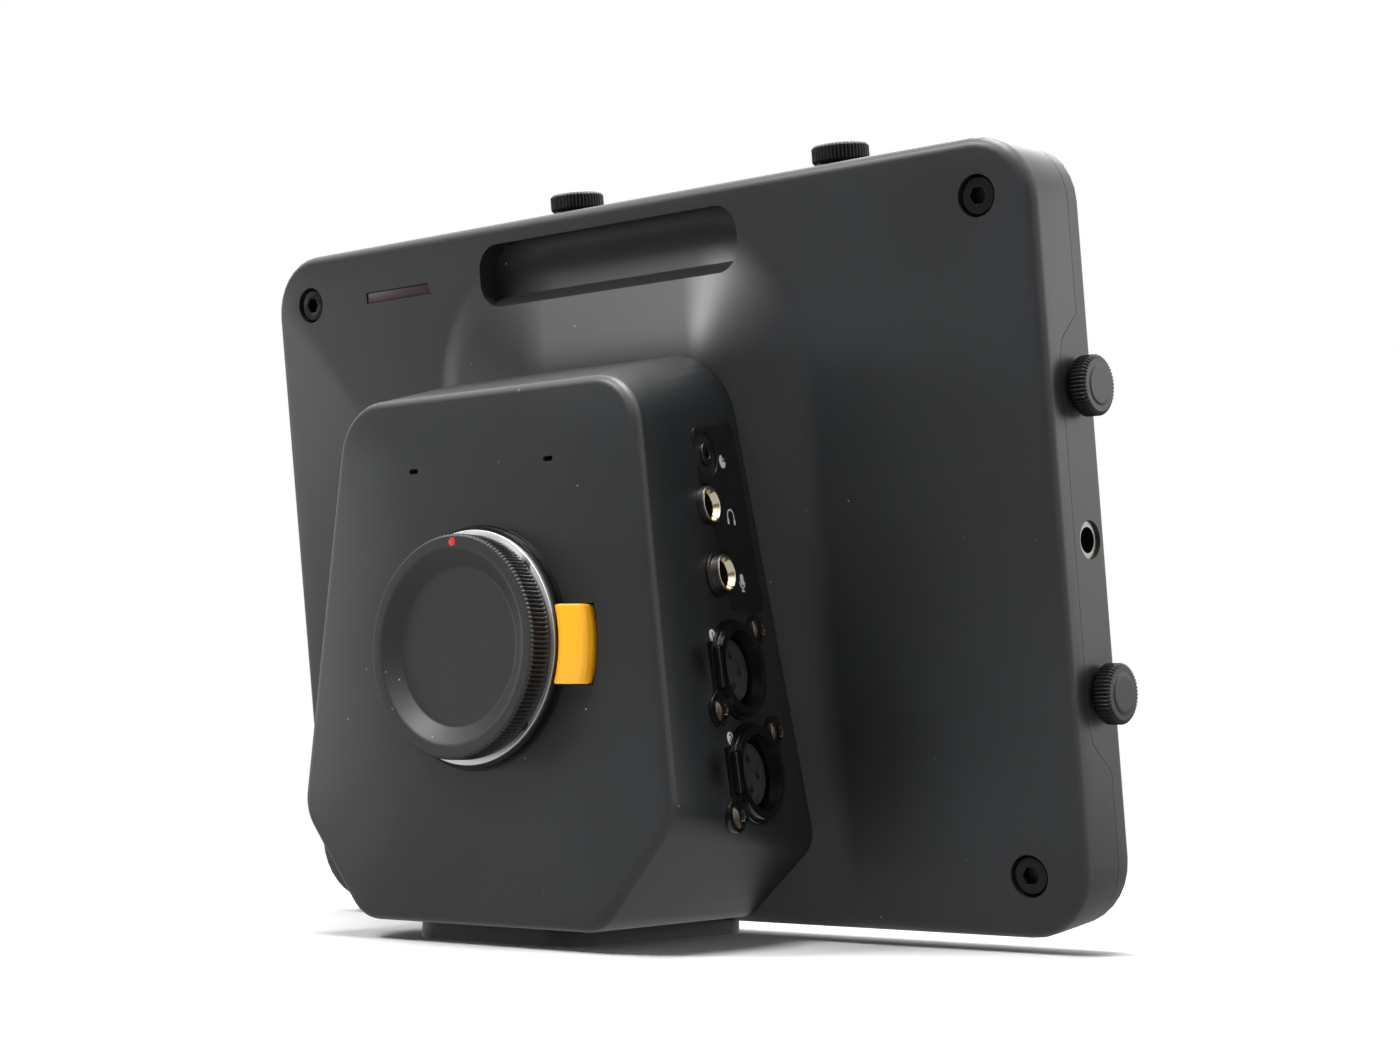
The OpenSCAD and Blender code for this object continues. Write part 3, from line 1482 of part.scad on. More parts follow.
module xlr_1_shell() { xlr_shell(xlr_places[0]); }
module xlr_2_shell() { xlr_shell(xlr_places[1]); }
module xlr_1_insert() { xlr_insert(xlr_places[0]); }
module xlr_2_insert() { xlr_insert(xlr_places[1]); }
module xlr_1_latch() { xlr_latch(xlr_places[0]); }
module xlr_2_latch() { xlr_latch(xlr_places[1]); }

module connector_screws() {
    color(plastic) for (p = xlr_places, k = [-1, 1]) on_wall(1, p[0], p[1])
        translate([0, k * xlr_screw_y, k * xlr_screw_z]) difference() {
            union() {
                out_rod(xlr_shank_r, -xlr_shank_l, xlr_flange_out + fit_gap);
                out_rod(xlr_head_r, xlr_flange_out, xlr_flange_out + xlr_head_h);
            }
            translate([xlr_flange_out + xlr_head_h / 2, 0, 0]) rotate([0, 90, 0])
                cylinder(r = xlr_shank_r, h = xlr_head_h, $fn = 6);
        }
}

// Left side sockets
coax_places = [sdi_out_z, sdi_in_z, reference_z];
left_plate_low = power_z - left_plate_margin;
left_plate_high = sdi_out_z + left_plate_margin;

module left_plate_outline() {
    translate([0, (left_plate_low + left_plate_high) / 2 - reference_z])
        rounded_rect(2 * left_plate_half, left_plate_high - left_plate_low, label_r);
}

module left_plate_seat() {
    on_wall(-1, left_y, reference_z) out_slab(-label_t, 4 * overrun) left_plate_outline();
}

module output_plate() {
    color("#141516") difference() {
        on_wall(-1, left_y, reference_z) out_slab(-label_t, 0) left_plate_outline();
        for (z = coax_places) on_wall(-1, left_y, z)
            out_rod(coax_nut_r + fit_gap, -4 * overrun, 4 * overrun);
        on_wall(-1, left_y, optical_z) out_slab(-4 * overrun, 4 * overrun)
            square([optical_w + 2 * fit_gap, optical_h + 2 * fit_gap], center = true);
        on_wall(-1, left_y, power_z) out_rod(power_r + fit_gap, -4 * overrun, 4 * overrun);
    }
}

module coax_socket(z) {
    color(steel) on_wall(-1, left_y, z) difference() {
        union() {
            out_rod(coax_r, -coax_body_l, coax_out);
            out_rod(coax_nut_r, label_t, coax_nut_h);
        }
        difference() {
            out_rod(coax_bore_r, 0, coax_out + overrun);
            out_rod(coax_pin_r, -overrun, coax_out - coax_pin_sunk);
        }
    }
}

module sdi_out() { coax_socket(sdi_out_z); }
module sdi_in() { coax_socket(sdi_in_z); }
module reference_in() { coax_socket(reference_z); }

module optical_port() {
    color("#2b3136") on_wall(-1, left_y, optical_z) difference() {
        out_slab(-optical_l, optical_out) square([optical_w, optical_h], center = true);
        out_slab(-optical_l + optical_wall, optical_out + overrun)
            square([optical_w - 2 * optical_wall, optical_h - 2 * optical_wall], center = true);
    }
}

module power_socket() {
    color(plastic) on_wall(-1, left_y, power_z) {
        difference() {
            out_rod(power_r, -power_l, power_out);
            out_rod(power_bore_r, -power_l + optical_wall, power_out + overrun);
        }
        for (k = [0:3]) rotate([45 + 90 * k, 0, 0]) translate([0, power_pin_place, 0])
            out_rod(power_pin_r, -power_l + optical_wall / 2, -power_pin_sunk);
    }
}

// Electronics behind the nose
module main_board() {
    color(board_green) on_panel() translate([0, 0, main_board_low + main_board_h / 2])
        slab(main_board_depth, main_board_depth + board_t)
            square([main_board_w, main_board_h], center = true);
}

sink_to = main_board_depth;
sink_from = sink_to - sink_base_t;
fin_from = sink_from - sink_fin_h;
fin_count = floor(sink_w / sink_pitch);

module heat_sink() {
    fin_step = (sink_w - sink_fin_t) / (fin_count - 1);
    color("#8a8d90") on_panel() translate([0, 0, cooler_h]) {
        slab(sink_from, sink_to) square([sink_w, sink_w], center = true);
        for (k = [0:fin_count - 1])
            slab(fin_from, sink_from + fit_gap)
                translate([-sink_w / 2 + k * fin_step, -sink_w / 2])
                    square([sink_fin_t, sink_w]);
    }
}

fan_to = fin_from;
fan_from = fan_to - fan_t;
fan_bore_r = fan_w / 2 - fan_wall;
fan_blade_r = fan_bore_r - fan_tip_gap;
module fan_frame() {
    color(plastic) on_panel() translate([0, 0, cooler_h]) {
        slab(fan_from, fan_to) difference() {
            square([fan_w, fan_w], center = true);
            circle(fan_bore_r);
        }
        slab(fan_from, fan_from + fan_spoke_t) {
            circle(fan_hub_r);
            for (k = [0:fan_spokes - 1]) rotate(360 * k / fan_spokes) translate([0, -fan_spoke_t])
                square([fan_bore_r + fan_spoke_t, 2 * fan_spoke_t]);
        }
        depth_rod(0, 0, fan_shaft_r, fan_from, fan_to - 2 * fan_spoke_t);
    }
}

module fan_rotor() {
    rotor_from = fan_from + fan_spoke_t + move_gap;
    rotor_to = fan_to - move_gap;
    color("#26282b") on_panel() translate([0, 0, cooler_h]) difference() {
        union() {
            depth_rod(0, 0, fan_hub_r, rotor_from, rotor_to);
            for (k = [0:fan_blades - 1]) rotate([0, 360 * k / fan_blades, 0])
                translate([fan_hub_r - fan_root, (rotor_from + rotor_to) / 2, 0])
                    rotate([fan_pitch, 0, 0])
                        translate([0, -fan_spoke_t / 2, -fan_t / 3])
                            cube([fan_blade_r - fan_hub_r + fan_root, fan_spoke_t, 2 * fan_t / 3]);
        }
        depth_rod(0, 0, fan_shaft_r + thread_clearance, rotor_from - overrun,
            fan_to - 2 * fan_spoke_t + move_gap);
    }
}

// The battery lies on the nose's floor, which rises towards the tray
battery_y = -battery_d / 2 - base_r;
floor_front = [nose_front_y + nose_wall, nose_face_low + nose_wall - nose_edge_r];
floor_rear_point = panel_point(0, tray_wall + overrun, root_floor_h + nose_wall);
floor_rise = (floor_rear_point[2] - floor_front[1]) / (floor_rear_point[1] - floor_front[0]);
battery_floor = floor_front[1] + floor_rise * (battery_y + battery_d - floor_front[0]) + fit_gap;

module battery_pack() {
    color("#3b4a6b") translate([(base_left + base_right - battery_w) / 2, battery_y, battery_floor])
        cube([battery_w, battery_d, battery_h]);
}

front_housing();
rear_housing();
base_plate();
base_screws();
corner_screws();
thread_inserts();
tally_window();
thumbscrew_top_left();
thumbscrew_top_right();
thumbscrew_right_upper();
thumbscrew_right_lower();
thumbscrew_left_upper();
thumbscrew_left_lower();
mount_ring();
bayonet_ring();
mount_screws();
lens_release();
lock_pin();
body_cap();
sensor_frame();
sensor_board();
image_sensor();
sensor_filter();
connector_plate();
remote_jack();
headphone_jack();
mic_jack();
xlr_1_shell();
xlr_2_shell();
xlr_1_insert();
xlr_2_insert();
xlr_1_latch();
xlr_2_latch();
connector_screws();
output_plate();
sdi_out();
sdi_in();
reference_in();
optical_port();
power_socket();
main_board();
heat_sink();
fan_frame();
fan_rotor();
battery_pack();
microphones();
tally_board();
lcd_module();
cover_glass();
button_board();
button_power();
button_menu();
button_down();
button_up();
button_display();
button_focus();
button_iris();
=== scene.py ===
import math
import bmesh
import bpy
import numpy as np
from mathutils import Matrix, Vector


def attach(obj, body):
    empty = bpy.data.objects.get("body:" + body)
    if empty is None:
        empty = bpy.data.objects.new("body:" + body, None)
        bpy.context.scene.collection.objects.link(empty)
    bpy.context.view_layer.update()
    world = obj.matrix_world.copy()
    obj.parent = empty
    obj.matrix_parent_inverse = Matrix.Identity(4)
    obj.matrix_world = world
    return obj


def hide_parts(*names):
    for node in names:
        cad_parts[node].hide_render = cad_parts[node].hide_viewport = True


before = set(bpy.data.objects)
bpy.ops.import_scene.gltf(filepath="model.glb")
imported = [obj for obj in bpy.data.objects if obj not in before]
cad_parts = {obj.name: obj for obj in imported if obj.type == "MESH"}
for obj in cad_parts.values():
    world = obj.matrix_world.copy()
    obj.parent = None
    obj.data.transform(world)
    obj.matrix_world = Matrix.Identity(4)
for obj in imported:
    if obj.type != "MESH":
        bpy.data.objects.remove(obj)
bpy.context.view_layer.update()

# Camera: a longer lens from the front right, a little below the middle of the tray and tipped
# slightly up, so that the nose stands in front of the display tray.
camera_place = Vector((0.43437, -0.49103, 0.04761))
camera_yaw = math.radians(39.287)
camera_pitch = math.radians(5.226)
camera_roll = math.radians(0.209)
look = Vector((-math.sin(camera_yaw) * math.cos(camera_pitch),
               math.cos(camera_yaw) * math.cos(camera_pitch), math.sin(camera_pitch)))
level = Vector((math.cos(camera_yaw), math.sin(camera_yaw), 0.0))
upward = level.cross(look)
right = level * math.cos(camera_roll) + upward * math.sin(camera_roll)
top = upward * math.cos(camera_roll) - level * math.sin(camera_roll)
camera_data = bpy.data.cameras.new("camera")
camera_data.lens = 63.53
camera_data.sensor_width = 36.0
camera = bpy.data.objects.new("camera", camera_data)
bpy.context.scene.collection.objects.link(camera)
camera.matrix_world = Matrix.Translation(camera_place) @ Matrix(
    ((right.x, top.x, -look.x), (right.y, top.y, -look.y), (right.z, top.z, -look.z))).to_4x4()
bpy.context.scene.camera = camera
bpy.context.scene.view_settings.view_transform = "Standard"


# Studio: the studio camera stands on a white painted board under soft lamps.
# The board is seen as plain white and keeps only the soft shadow of the object.
def linear(code):
    """Turns an sRGB hex colour into linear light: a straight line below 0.04045, above it a power."""
    part = np.array([int(code[k:k + 2], 16) for k in (1, 3, 5)]) / 255.0
    light = np.where(part <= 0.04045, part / 12.92, ((part + 0.055) / 1.055) ** 2.4)
    return (*light.tolist(), 1.0)


def add_node(material, kind, **inputs):
    """Adds one node. A name that is a property of the node is set, and any other name is an input socket:
    a tuple of a node and an output name links it, and any other value is put on the socket."""
    tree = material.node_tree
    node = tree.nodes.new(kind)
    for name, value in inputs.items():
        if hasattr(node, name):
            setattr(node, name, value)
            continue
        key = int(name[1:]) if name[0] == "i" and name[1:].isdigit() else name.replace("_", " ")
        socket = node.inputs[key]
        if isinstance(value, tuple) and len(value) == 2 and hasattr(value[0], "outputs"):
            tree.links.new(value[0].outputs[value[1]], socket)
        else:
            socket.default_value = value
    return node


def new_material(name):
    """An empty node material with its output node."""
    material = bpy.data.materials.new(name)
    material.use_nodes = True
    material.node_tree.nodes.clear()
    output = material.node_tree.nodes.new("ShaderNodeOutputMaterial")
    return material, output


def surface_grid(name, points, closed_u=False, closed_v=False):
    """A mesh through a grid of points, rows along the first axis and columns along the second. Each cell
    becomes one face, and a closed direction joins its last line to its first."""
    rows, columns = points.shape[:2]
    u = np.arange(rows if closed_u else rows - 1)
    v = np.arange(columns if closed_v else columns - 1)
    a, b = np.meshgrid(u, v, indexing="ij")
    a2 = (a + 1) % rows
    b2 = (b + 1) % columns
    faces = np.stack([a * columns + b, a2 * columns + b, a2 * columns + b2, a * columns + b2], -1)
    return mesh_piece(name, points.reshape(-1, 3), faces.reshape(-1, 4).tolist())


def mesh_piece(name, points, faces, smooth=True):
    """An object at the origin whose mesh has these points, in millimetres, and these faces."""
    mesh = bpy.data.meshes.new(name)
    mesh.from_pydata((np.asarray(points, float) / 1000.0).tolist(), [], faces)
    tidy = bmesh.new()
    tidy.from_mesh(mesh)
    bmesh.ops.remove_doubles(tidy, verts=tidy.verts, dist=1e-7)
    bmesh.ops.recalc_face_normals(tidy, faces=tidy.faces)
    tidy.to_mesh(mesh)
    tidy.free()
    mesh.polygons.foreach_set("use_smooth", [smooth] * len(mesh.polygons))
    mesh.set_sharp_from_angle(angle=math.radians(38.0))
    mesh.update()
    piece = bpy.data.objects.new(name, mesh)
    bpy.context.scene.collection.objects.link(piece)
    return piece


# Seen from the camera the board fades from its own paint, with the object's shadow, to plain white,
# and mirror rays see it as plain pale board.
board_white, board_output = new_material("painted_board")
board_place = add_node(board_white, "ShaderNodeTexCoord")
board_away = add_node(board_white, "ShaderNodeVectorMath", operation="DISTANCE",
                      i0=(board_place, "Object"), i1=(0.0, 0.02, 0.0))
board_fade = add_node(board_white, "ShaderNodeMapRange", interpolation_type="SMOOTHSTEP",
                      i0=(board_away, "Value"), i1=0.20, i2=0.60)
board_path = add_node(board_white, "ShaderNodeLightPath")
board_far = add_node(board_white, "ShaderNodeMath", operation="MULTIPLY", i0=(board_fade, 0),
                     i1=(board_path, "Is Camera Ray"))
board_mirror = add_node(board_white, "ShaderNodeMath", operation="MAXIMUM",
                        i0=(board_path, "Is Glossy Ray"), i1=(board_path, "Is Transmission Ray"))
board_paint = add_node(board_white, "ShaderNodeBsdfDiffuse", Color=linear("#f4f4f3"))
board_glow = add_node(board_white, "ShaderNodeEmission", Color=linear("#ffffff"), Strength=0.6)
board_plain = add_node(board_white, "ShaderNodeEmission", Color=linear("#ffffff"), Strength=1.0)
board_near = add_node(board_white, "ShaderNodeMixShader", Fac=(board_mirror, 0),
                      i1=(board_paint, 0), i2=(board_glow, 0))
board_mix = add_node(board_white, "ShaderNodeMixShader", Fac=(board_far, 0), i1=(board_near, 0),
                     i2=(board_plain, 0))
board_white.node_tree.links.new(board_mix.outputs[0], board_output.inputs["Surface"])
floor_steps = np.linspace(-1.0, 1.0, 9)
floor_x, floor_y = np.meshgrid(3000.0 * floor_steps, 3000.0 * floor_steps, indexing="ij")
floor = surface_grid("studio_floor", np.stack([floor_x, floor_y, 0.0 * floor_x], -1))
floor.data.materials.append(board_white)

world = bpy.data.worlds.new("studio_world")
bpy.context.scene.world = world
world.use_nodes = True
world.node_tree.nodes.clear()
world_path = add_node(world, "ShaderNodeLightPath")
world_place = add_node(world, "ShaderNodeTexCoord")
world_parts = add_node(world, "ShaderNodeSeparateXYZ", i0=(world_place, "Generated"))
world_back = add_node(world, "ShaderNodeMapRange", interpolation_type="SMOOTHSTEP",
                      i0=(world_parts, "Y"), i1=-0.4, i2=0.3, i3=0.20, i4=1.10)
world_above = add_node(world, "ShaderNodeMapRange", interpolation_type="SMOOTHSTEP",
                       i0=(world_parts, "Z"), i1=0.25, i2=0.75, i3=0.0, i4=1.6)
world_both = add_node(world, "ShaderNodeMath", operation="ADD", i0=(world_back, 0), i1=(world_above, 0))
world_seen = add_node(world, "ShaderNodeMath", operation="MAXIMUM",
                      i0=(world_path, "Is Camera Ray"), i1=(world_path, "Is Transmission Ray"))
world_white = add_node(world, "ShaderNodeBackground", Color=linear("#ffffff"), Strength=1.0)
world_mirror = add_node(world, "ShaderNodeBackground", Color=linear("#ffffff"),
                        Strength=(world_both, 0))
world_fill = add_node(world, "ShaderNodeBackground", Color=linear("#f6f8fb"), Strength=0.22)
world_dim = add_node(world, "ShaderNodeMixShader", Fac=(world_path, "Is Glossy Ray"),
                     i1=(world_fill, 0), i2=(world_mirror, 0))
world_mix = add_node(world, "ShaderNodeMixShader", Fac=(world_seen, 0), i1=(world_dim, 0),
                     i2=(world_white, 0))
world_output = world.node_tree.nodes.new("ShaderNodeOutputWorld")
world.node_tree.links.new(world_mix.outputs[0], world_output.inputs["Surface"])


def soft_lamp(name, place, target, width, height, power):
    """An area lamp at a place, turned to face a target, in metres and watts."""
    data = bpy.data.lights.new(name, "AREA")
    data.shape = "RECTANGLE"
    data.size = width
    data.size_y = height
    data.energy = power
    lamp = bpy.data.objects.new(name, data)
    bpy.context.scene.collection.objects.link(lamp)
    lamp.location = place
    lamp.rotation_euler = (Vector(target) - Vector(place)).to_track_quat("-Z", "Y").to_euler()
    return lamp


soft_lamp("key_lamp", (-0.45, -0.85, 1.25), (0.0, 0.0, 0.10), 0.4, 0.4, 15.0)
soft_lamp("left_lamp", (-1.75, -0.75, 0.18), (0.0, 0.0, 0.08), 0.75, 0.36, 3.4)
soft_lamp("top_lamp", (0.05, 0.00, 1.30), (0.0, -0.02, 0.10), 0.9, 0.5, 20.0)
soft_lamp("right_lamp", (1.20, 1.20, 0.45), (0.1, 0.0, 0.10), 0.9, 0.6, 4.0)
soft_lamp("strip_lamp", (1.30, -0.35, 0.25), (0.0, -0.05, 0.08), 0.4, 0.9, 1.4)
soft_lamp("back_lamp", (-0.45, 1.25, 1.05), (0.0, 0.0, 0.10), 0.9, 0.9, 14.0)


# Front housing: the tray's face and rim and the tapered nose, one magnesium casting.
# Blasted and powder coated in charcoal, which leaves a fine satin grain that greys where it faces
# the light. A thumb scoop beside each XLR socket gives room to press its latch, and its hollow is
# darkened with painted shade.
def on_panel(s, depth, h):
    """Places tray points: s runs across, depth goes in from the face and h up the slope, which leans
    by 7.5 degrees about the foot of the tray."""
    lean = math.radians(7.5)
    s, depth, h = np.broadcast_arrays(s, depth, h)
    return np.stack([s, 23.06 + depth * math.cos(lean) - h * math.sin(lean),
                     3.4 + depth * math.sin(lean) + h * math.cos(lean)], -1)


def wall_frame(side, y, z):
    """The foot point and the three directions of a place on the nose's side wall: outward, rearward and
    up. The wall is ruled by straight lines from the front edge to the root on the tray."""
    def half(level):
        slope = (level - 3.4) / math.cos(math.radians(7.5))
        root_y = 23.06 - slope * math.sin(math.radians(7.5))
        front = 2.5 + 48.4 + (137.0 - level) * 13.0 / 103.9
        root = 37.0 + (150.1 - slope) * 17.3 / 128.6 if side > 0 else 66.0
        turn = math.atan((front - root) / (root_y + 45.5))
        return front + (root - front) * (y + 45.5) / (root_y + 45.5), turn
    x, turn = half(z)
    tip = math.atan((half(z - 1)[0] - half(z + 1)[0]) / 2.0)
    out = np.array([math.cos(tip) * math.cos(turn), math.cos(tip) * math.sin(turn), math.sin(tip)])
    rear = np.array([-math.sin(turn), math.cos(turn), 0.0])
    rise = np.array([-math.sin(tip) * math.cos(turn), -math.sin(tip) * math.sin(turn), math.cos(tip)])
    mirror = np.array([side, 1.0, 1.0])
    return np.array([side * x, y, z]), out * mirror, rear * mirror, rise * mirror


def on_wall(frame_of_wall, out, rear, rise):
    """Places wall points: the foot point plus each distance along its own direction."""
    foot, a, b, c = frame_of_wall
    out, rear, rise = (np.asarray(v, float)[..., None] for v in np.broadcast_arrays(out, rear, rise))
    return foot + out * a + rear * b + rise * c


def smooth_node(name, material, edge_mm=0.0, angle=32.0):
    """Gives a CAD node its material and smooth shading: its loose triangles are welded, edges sharper than
    the angle stay crisp, and where an edge width is given they are rounded by it."""
    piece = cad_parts[name]
    piece.data.materials.clear()
    piece.data.materials.append(material)
    piece.data.polygons.foreach_set("use_smooth", [True] * len(piece.data.polygons))
    weld = piece.modifiers.new("weld", "WELD")
    weld.merge_threshold = 1e-6
    if edge_mm:
        flat = piece.modifiers.new("flats", "DECIMATE")
        flat.decimate_type = "DISSOLVE"
        flat.angle_limit = math.radians(0.6)  # joins the triangles of one flat face and keeps round ones
        bevel = piece.modifiers.new("bevel", "BEVEL")
        bevel.width = edge_mm / 1000.0
        bevel.segments = 3
        bevel.limit_method = "ANGLE"
        bevel.angle_limit = math.radians(angle)
        bevel.harden_normals = True
    else:
        split = piece.modifiers.new("edges", "EDGE_SPLIT")
        split.split_angle = math.radians(angle)
    return piece


def coated(name, dark, light, rough, grain_mm, height_mm, dust=0.0, metal=0.0, scoops_with_painted_shade=(), blend_mm=None):
    """Powder coat, moulded skin or plain metal: two near colours in broad clouds, a fine grain in the
    bump and in the roughness, and, where asked, rare pale specks of dust, soft hollows that are bumped
    in and darkened with painted shade, and a wide blend that rises by a smooth step towards a block
    given by half width, level, reach and height."""
    material, output = new_material(name)
    place = add_node(material, "ShaderNodeTexCoord")
    clouds = add_node(material, "ShaderNodeTexNoise", Vector=(place, "Object"),
                      Scale=1000.0 / 60.0, Detail=4.0)
    grain = add_node(material, "ShaderNodeTexNoise", Vector=(place, "Object"),
                     Scale=1000.0 / grain_mm, Detail=2.0)
    blend = add_node(material, "ShaderNodeMath", operation="MULTIPLY_ADD", i0=(grain, 0), i1=0.5,
                     i2=(clouds, 0))
    share = add_node(material, "ShaderNodeMapRange", i0=(blend, 0), i1=0.5, i2=1.0)
    colour = add_node(material, "ShaderNodeMix", data_type="RGBA", i0=(share, 0), i6=linear(dark),
                      i7=linear(light))
    last = (colour, 2)
    if dust:
        # One cell is 3.3 mm across, and a speck fills a tenth of it in the few cells that are picked.
        dots = add_node(material, "ShaderNodeTexVoronoi", Vector=(place, "Object"), Scale=300.0)
        pick = add_node(material, "ShaderNodeMapRange", i0=(dots, "Distance"), i1=0.085, i2=0.05)
        tint = add_node(material, "ShaderNodeSeparateColor", i0=(dots, "Color"))
        rare = add_node(material, "ShaderNodeMath", operation="LESS_THAN", i0=(tint, 0), i1=dust)
        mask = add_node(material, "ShaderNodeMath", operation="MULTIPLY", i0=(pick, 0), i1=(rare, 0))
        speck = add_node(material, "ShaderNodeMix", data_type="RGBA", i0=(mask, 0), i6=last,
                         i7=linear("#8d9092"))
        last = (speck, 2)
    height = (grain, 0)
    bump = add_node(material, "ShaderNodeBump", Distance=height_mm / 1000.0, Height=height)
    if blend_mm:
        half_mm, level_mm, reach_mm, rise_mm = blend_mm
        parts = add_node(material, "ShaderNodeSeparateXYZ", i0=(place, "Object"))
        across = add_node(material, "ShaderNodeMath", operation="ABSOLUTE", i0=(parts, "X"))
        past = add_node(material, "ShaderNodeMath", operation="SUBTRACT", i0=(across, 0),
                        i1=half_mm / 1000.0)
        above = add_node(material, "ShaderNodeMath", operation="SUBTRACT", i0=(parts, "Z"),
                         i1=level_mm / 1000.0)
        past = add_node(material, "ShaderNodeMath", operation="MAXIMUM", i0=(past, 0), i1=0.0)
        above = add_node(material, "ShaderNodeMath", operation="MAXIMUM", i0=(above, 0), i1=0.0)
        corner = add_node(material, "ShaderNodeCombineXYZ", i0=(past, 0), i1=(above, 0))
        away = add_node(material, "ShaderNodeVectorMath", operation="LENGTH", i0=(corner, 0))
        slope = add_node(material, "ShaderNodeMapRange", interpolation_type="SMOOTHSTEP",
                         i0=(away, "Value"), i1=0.0, i2=reach_mm / 1000.0, i3=1.0, i4=0.0)
        lean = add_node(material, "ShaderNodeMath", operation="MULTIPLY_ADD", i0=(parts, "Z"),
                        i1=math.tan(math.radians(7.5)), i2=(parts, "Y"))
        # Only the tray's face rises: the nose stands in front of its leaning plane.
        face = add_node(material, "ShaderNodeMath", operation="GREATER_THAN", i0=(lean, 0), i1=0.0224)
        bump = add_node(material, "ShaderNodeBump", Distance=rise_mm / 1000.0, Height=(slope, 0),
                        Strength=(face, 0), Normal=(bump, "Normal"))
    for centre, reach_mm, depth_mm in scoops_with_painted_shade:
        away = add_node(material, "ShaderNodeVectorMath", operation="DISTANCE", i0=(place, "Object"),
                        i1=tuple(v / 1000.0 for v in centre))
        bowl = add_node(material, "ShaderNodeMapRange", interpolation_type="SMOOTHSTEP",
                        i0=(away, "Value"), i1=0.0, i2=reach_mm / 1000.0)
        bump = add_node(material, "ShaderNodeBump", Distance=depth_mm / 1000.0, Height=(bowl, 0),
                        Normal=(bump, "Normal"))
        # Painted shade: each hollow's colour darkens to near black towards its middle, on top of its bump.
        shade = add_node(material, "ShaderNodeMix", data_type="RGBA", i0=(bowl, 0),
                         i6=linear("#050505"), i7=last)
        last = (shade, 2)
    gloss = add_node(material, "ShaderNodeMapRange", i0=(grain, 0), i3=rough - 0.05, i4=rough + 0.07)
    skin = add_node(material, "ShaderNodeBsdfPrincipled", Base_Color=last, Metallic=metal,
                    Roughness=(gloss, 0), Normal=(bump, "Normal"))
    material.node_tree.links.new(skin.outputs[0], output.inputs["Surface"])
    return material


scoop_places = [on_wall(wall_frame(1, -10.6, 68.4), 0.0, -17.2, 0.4),
                on_wall(wall_frame(1, -7.4, 42.8), 0.0, -17.2, 0.4)]
# Charcoal powder coat over blasted magnesium: a satin skin with a grain of 0.3 mm, which
# spreads highlights wide and soft, in two near greys, with rare pale specks of dust, and painted
# shade that darkens the hollow of each thumb scoop beside the XLR sockets.
powder_coat = coated("charcoal_powder_coat", "#191a1b", "#222426", 0.40, 0.30, 0.010, 0.05,
                     scoops_with_painted_shade=[(tuple(p), 7.0, 1.2) for p in scoop_places],
                     blend_mm=(25.0, 146.0, 42.0, 18.0))
smooth_node("front_housing", powder_coat)

# Rear housing: the frame that closes the tray from behind, with the side tabs that hold the bushes.
# It is cast in magnesium too, and the corner screws of the front hold it.
# The same powder coat from a second batch, a shade greyer and a little duller.
rear_coat = coated("rear_powder_coat", "#1d1e1f", "#27292a", 0.42, 0.30, 0.010, 0.04)
smooth_node("rear_housing", rear_coat)


# Base plate and its screws: a flat steel plate, blackened and brushed along the lens axis,
# held under the nose by four socket screws. It carries the two tripod threads.
def brushed(name, colour, rough, along, metal=1.0):
    """Brushed metal: noise drawn out fifty times along one axis roughens and lightly grooves it."""
    material, output = new_material(name)
    place = add_node(material, "ShaderNodeTexCoord")
    spread = [4000.0, 4000.0, 4000.0]
    spread[along] = 80.0
    stretch = add_node(material, "ShaderNodeMapping", Vector=(place, "Object"), Scale=tuple(spread))
    lines = add_node(material, "ShaderNodeTexNoise", Vector=(stretch, "Vector"), Scale=1.0, Detail=2.0)
    gloss = add_node(material, "ShaderNodeMapRange", i0=(lines, 0), i3=rough - 0.08, i4=rough + 0.12)
    bump = add_node(material, "ShaderNodeBump", Distance=0.000004, Height=(lines, 0))
    skin = add_node(material, "ShaderNodeBsdfPrincipled", Base_Color=linear(colour), Metallic=metal,
                    Roughness=(gloss, 0), Normal=(bump, "Normal"))
    material.node_tree.links.new(skin.outputs[0], output.inputs["Surface"])
    return material


# Blackened cold-rolled steel, brushed: fine lines that stretch highlights across them.
black_plate = brushed("blackened_brushed_steel", "#2c2d2e", 0.45, 1, metal=0.6)
smooth_node("base_plate", black_plate, 0.4)
# Black oxide on machined steel: a dark, slightly oily sheen with a hard edge.
black_oxide = coated("black_oxide_steel", "#0d0d0e", "#141416", 0.32, 0.20, 0.004, metal=0.5)
smooth_node("base_screws", black_oxide, 0.15)

# Corner screws: M5 socket head screws of black oxide steel, with a broached hexagon. They are sunk
# in the four corners of the tray and draw it against the bosses of the rear housing.
smooth_node("corner_screws", black_oxide, 0.35)

# Threaded bushes: turned brass, pressed into the rear housing's rim. The middle one on each side is
# bare, so the start of its thread shows.
def turned(name, profile, frame_of, around=96, ribs=0, rib_mm=None, lobes=None):
    """A profile of radius and height carried round an axis. frame_of places radius times cosine, radius
    times sine and height. Each rib takes a rounded notch, as deep as its row says, out of the radius,
    and lobes adds its own share to the radius by angle."""
    profile = np.asarray(profile, float)
    turn = np.linspace(0.0, 2.0 * math.pi, around, endpoint=False)
    radius = np.repeat(profile[:, :1], around, 1)
    if ribs:
        notch = np.abs(np.cos(turn * ribs / 2.0)) ** 3
        radius = radius - np.asarray(rib_mm)[:, None] * notch[None, :]
    if lobes is not None:
        radius = radius + lobes(profile, turn)
    height = np.repeat(profile[:, 1:], around, 1)
    points = frame_of(radius * np.cos(turn), radius * np.sin(turn), height)
    return surface_grid(name, points, closed_v=True)


def filled(profile, step=0.5):
    """A profile with points added between its corners, no further apart than the step."""
    profile = np.asarray(profile, float)
    rows = [profile[:1]]
    for a, b in zip(profile[:-1], profile[1:]):
        count = max(1, int(math.ceil(np.hypot(*(b - a)) / step)))
        share = np.arange(1, count + 1)[:, None] / count
        rows.append(a + (b - a) * share)
    return np.concatenate(rows)


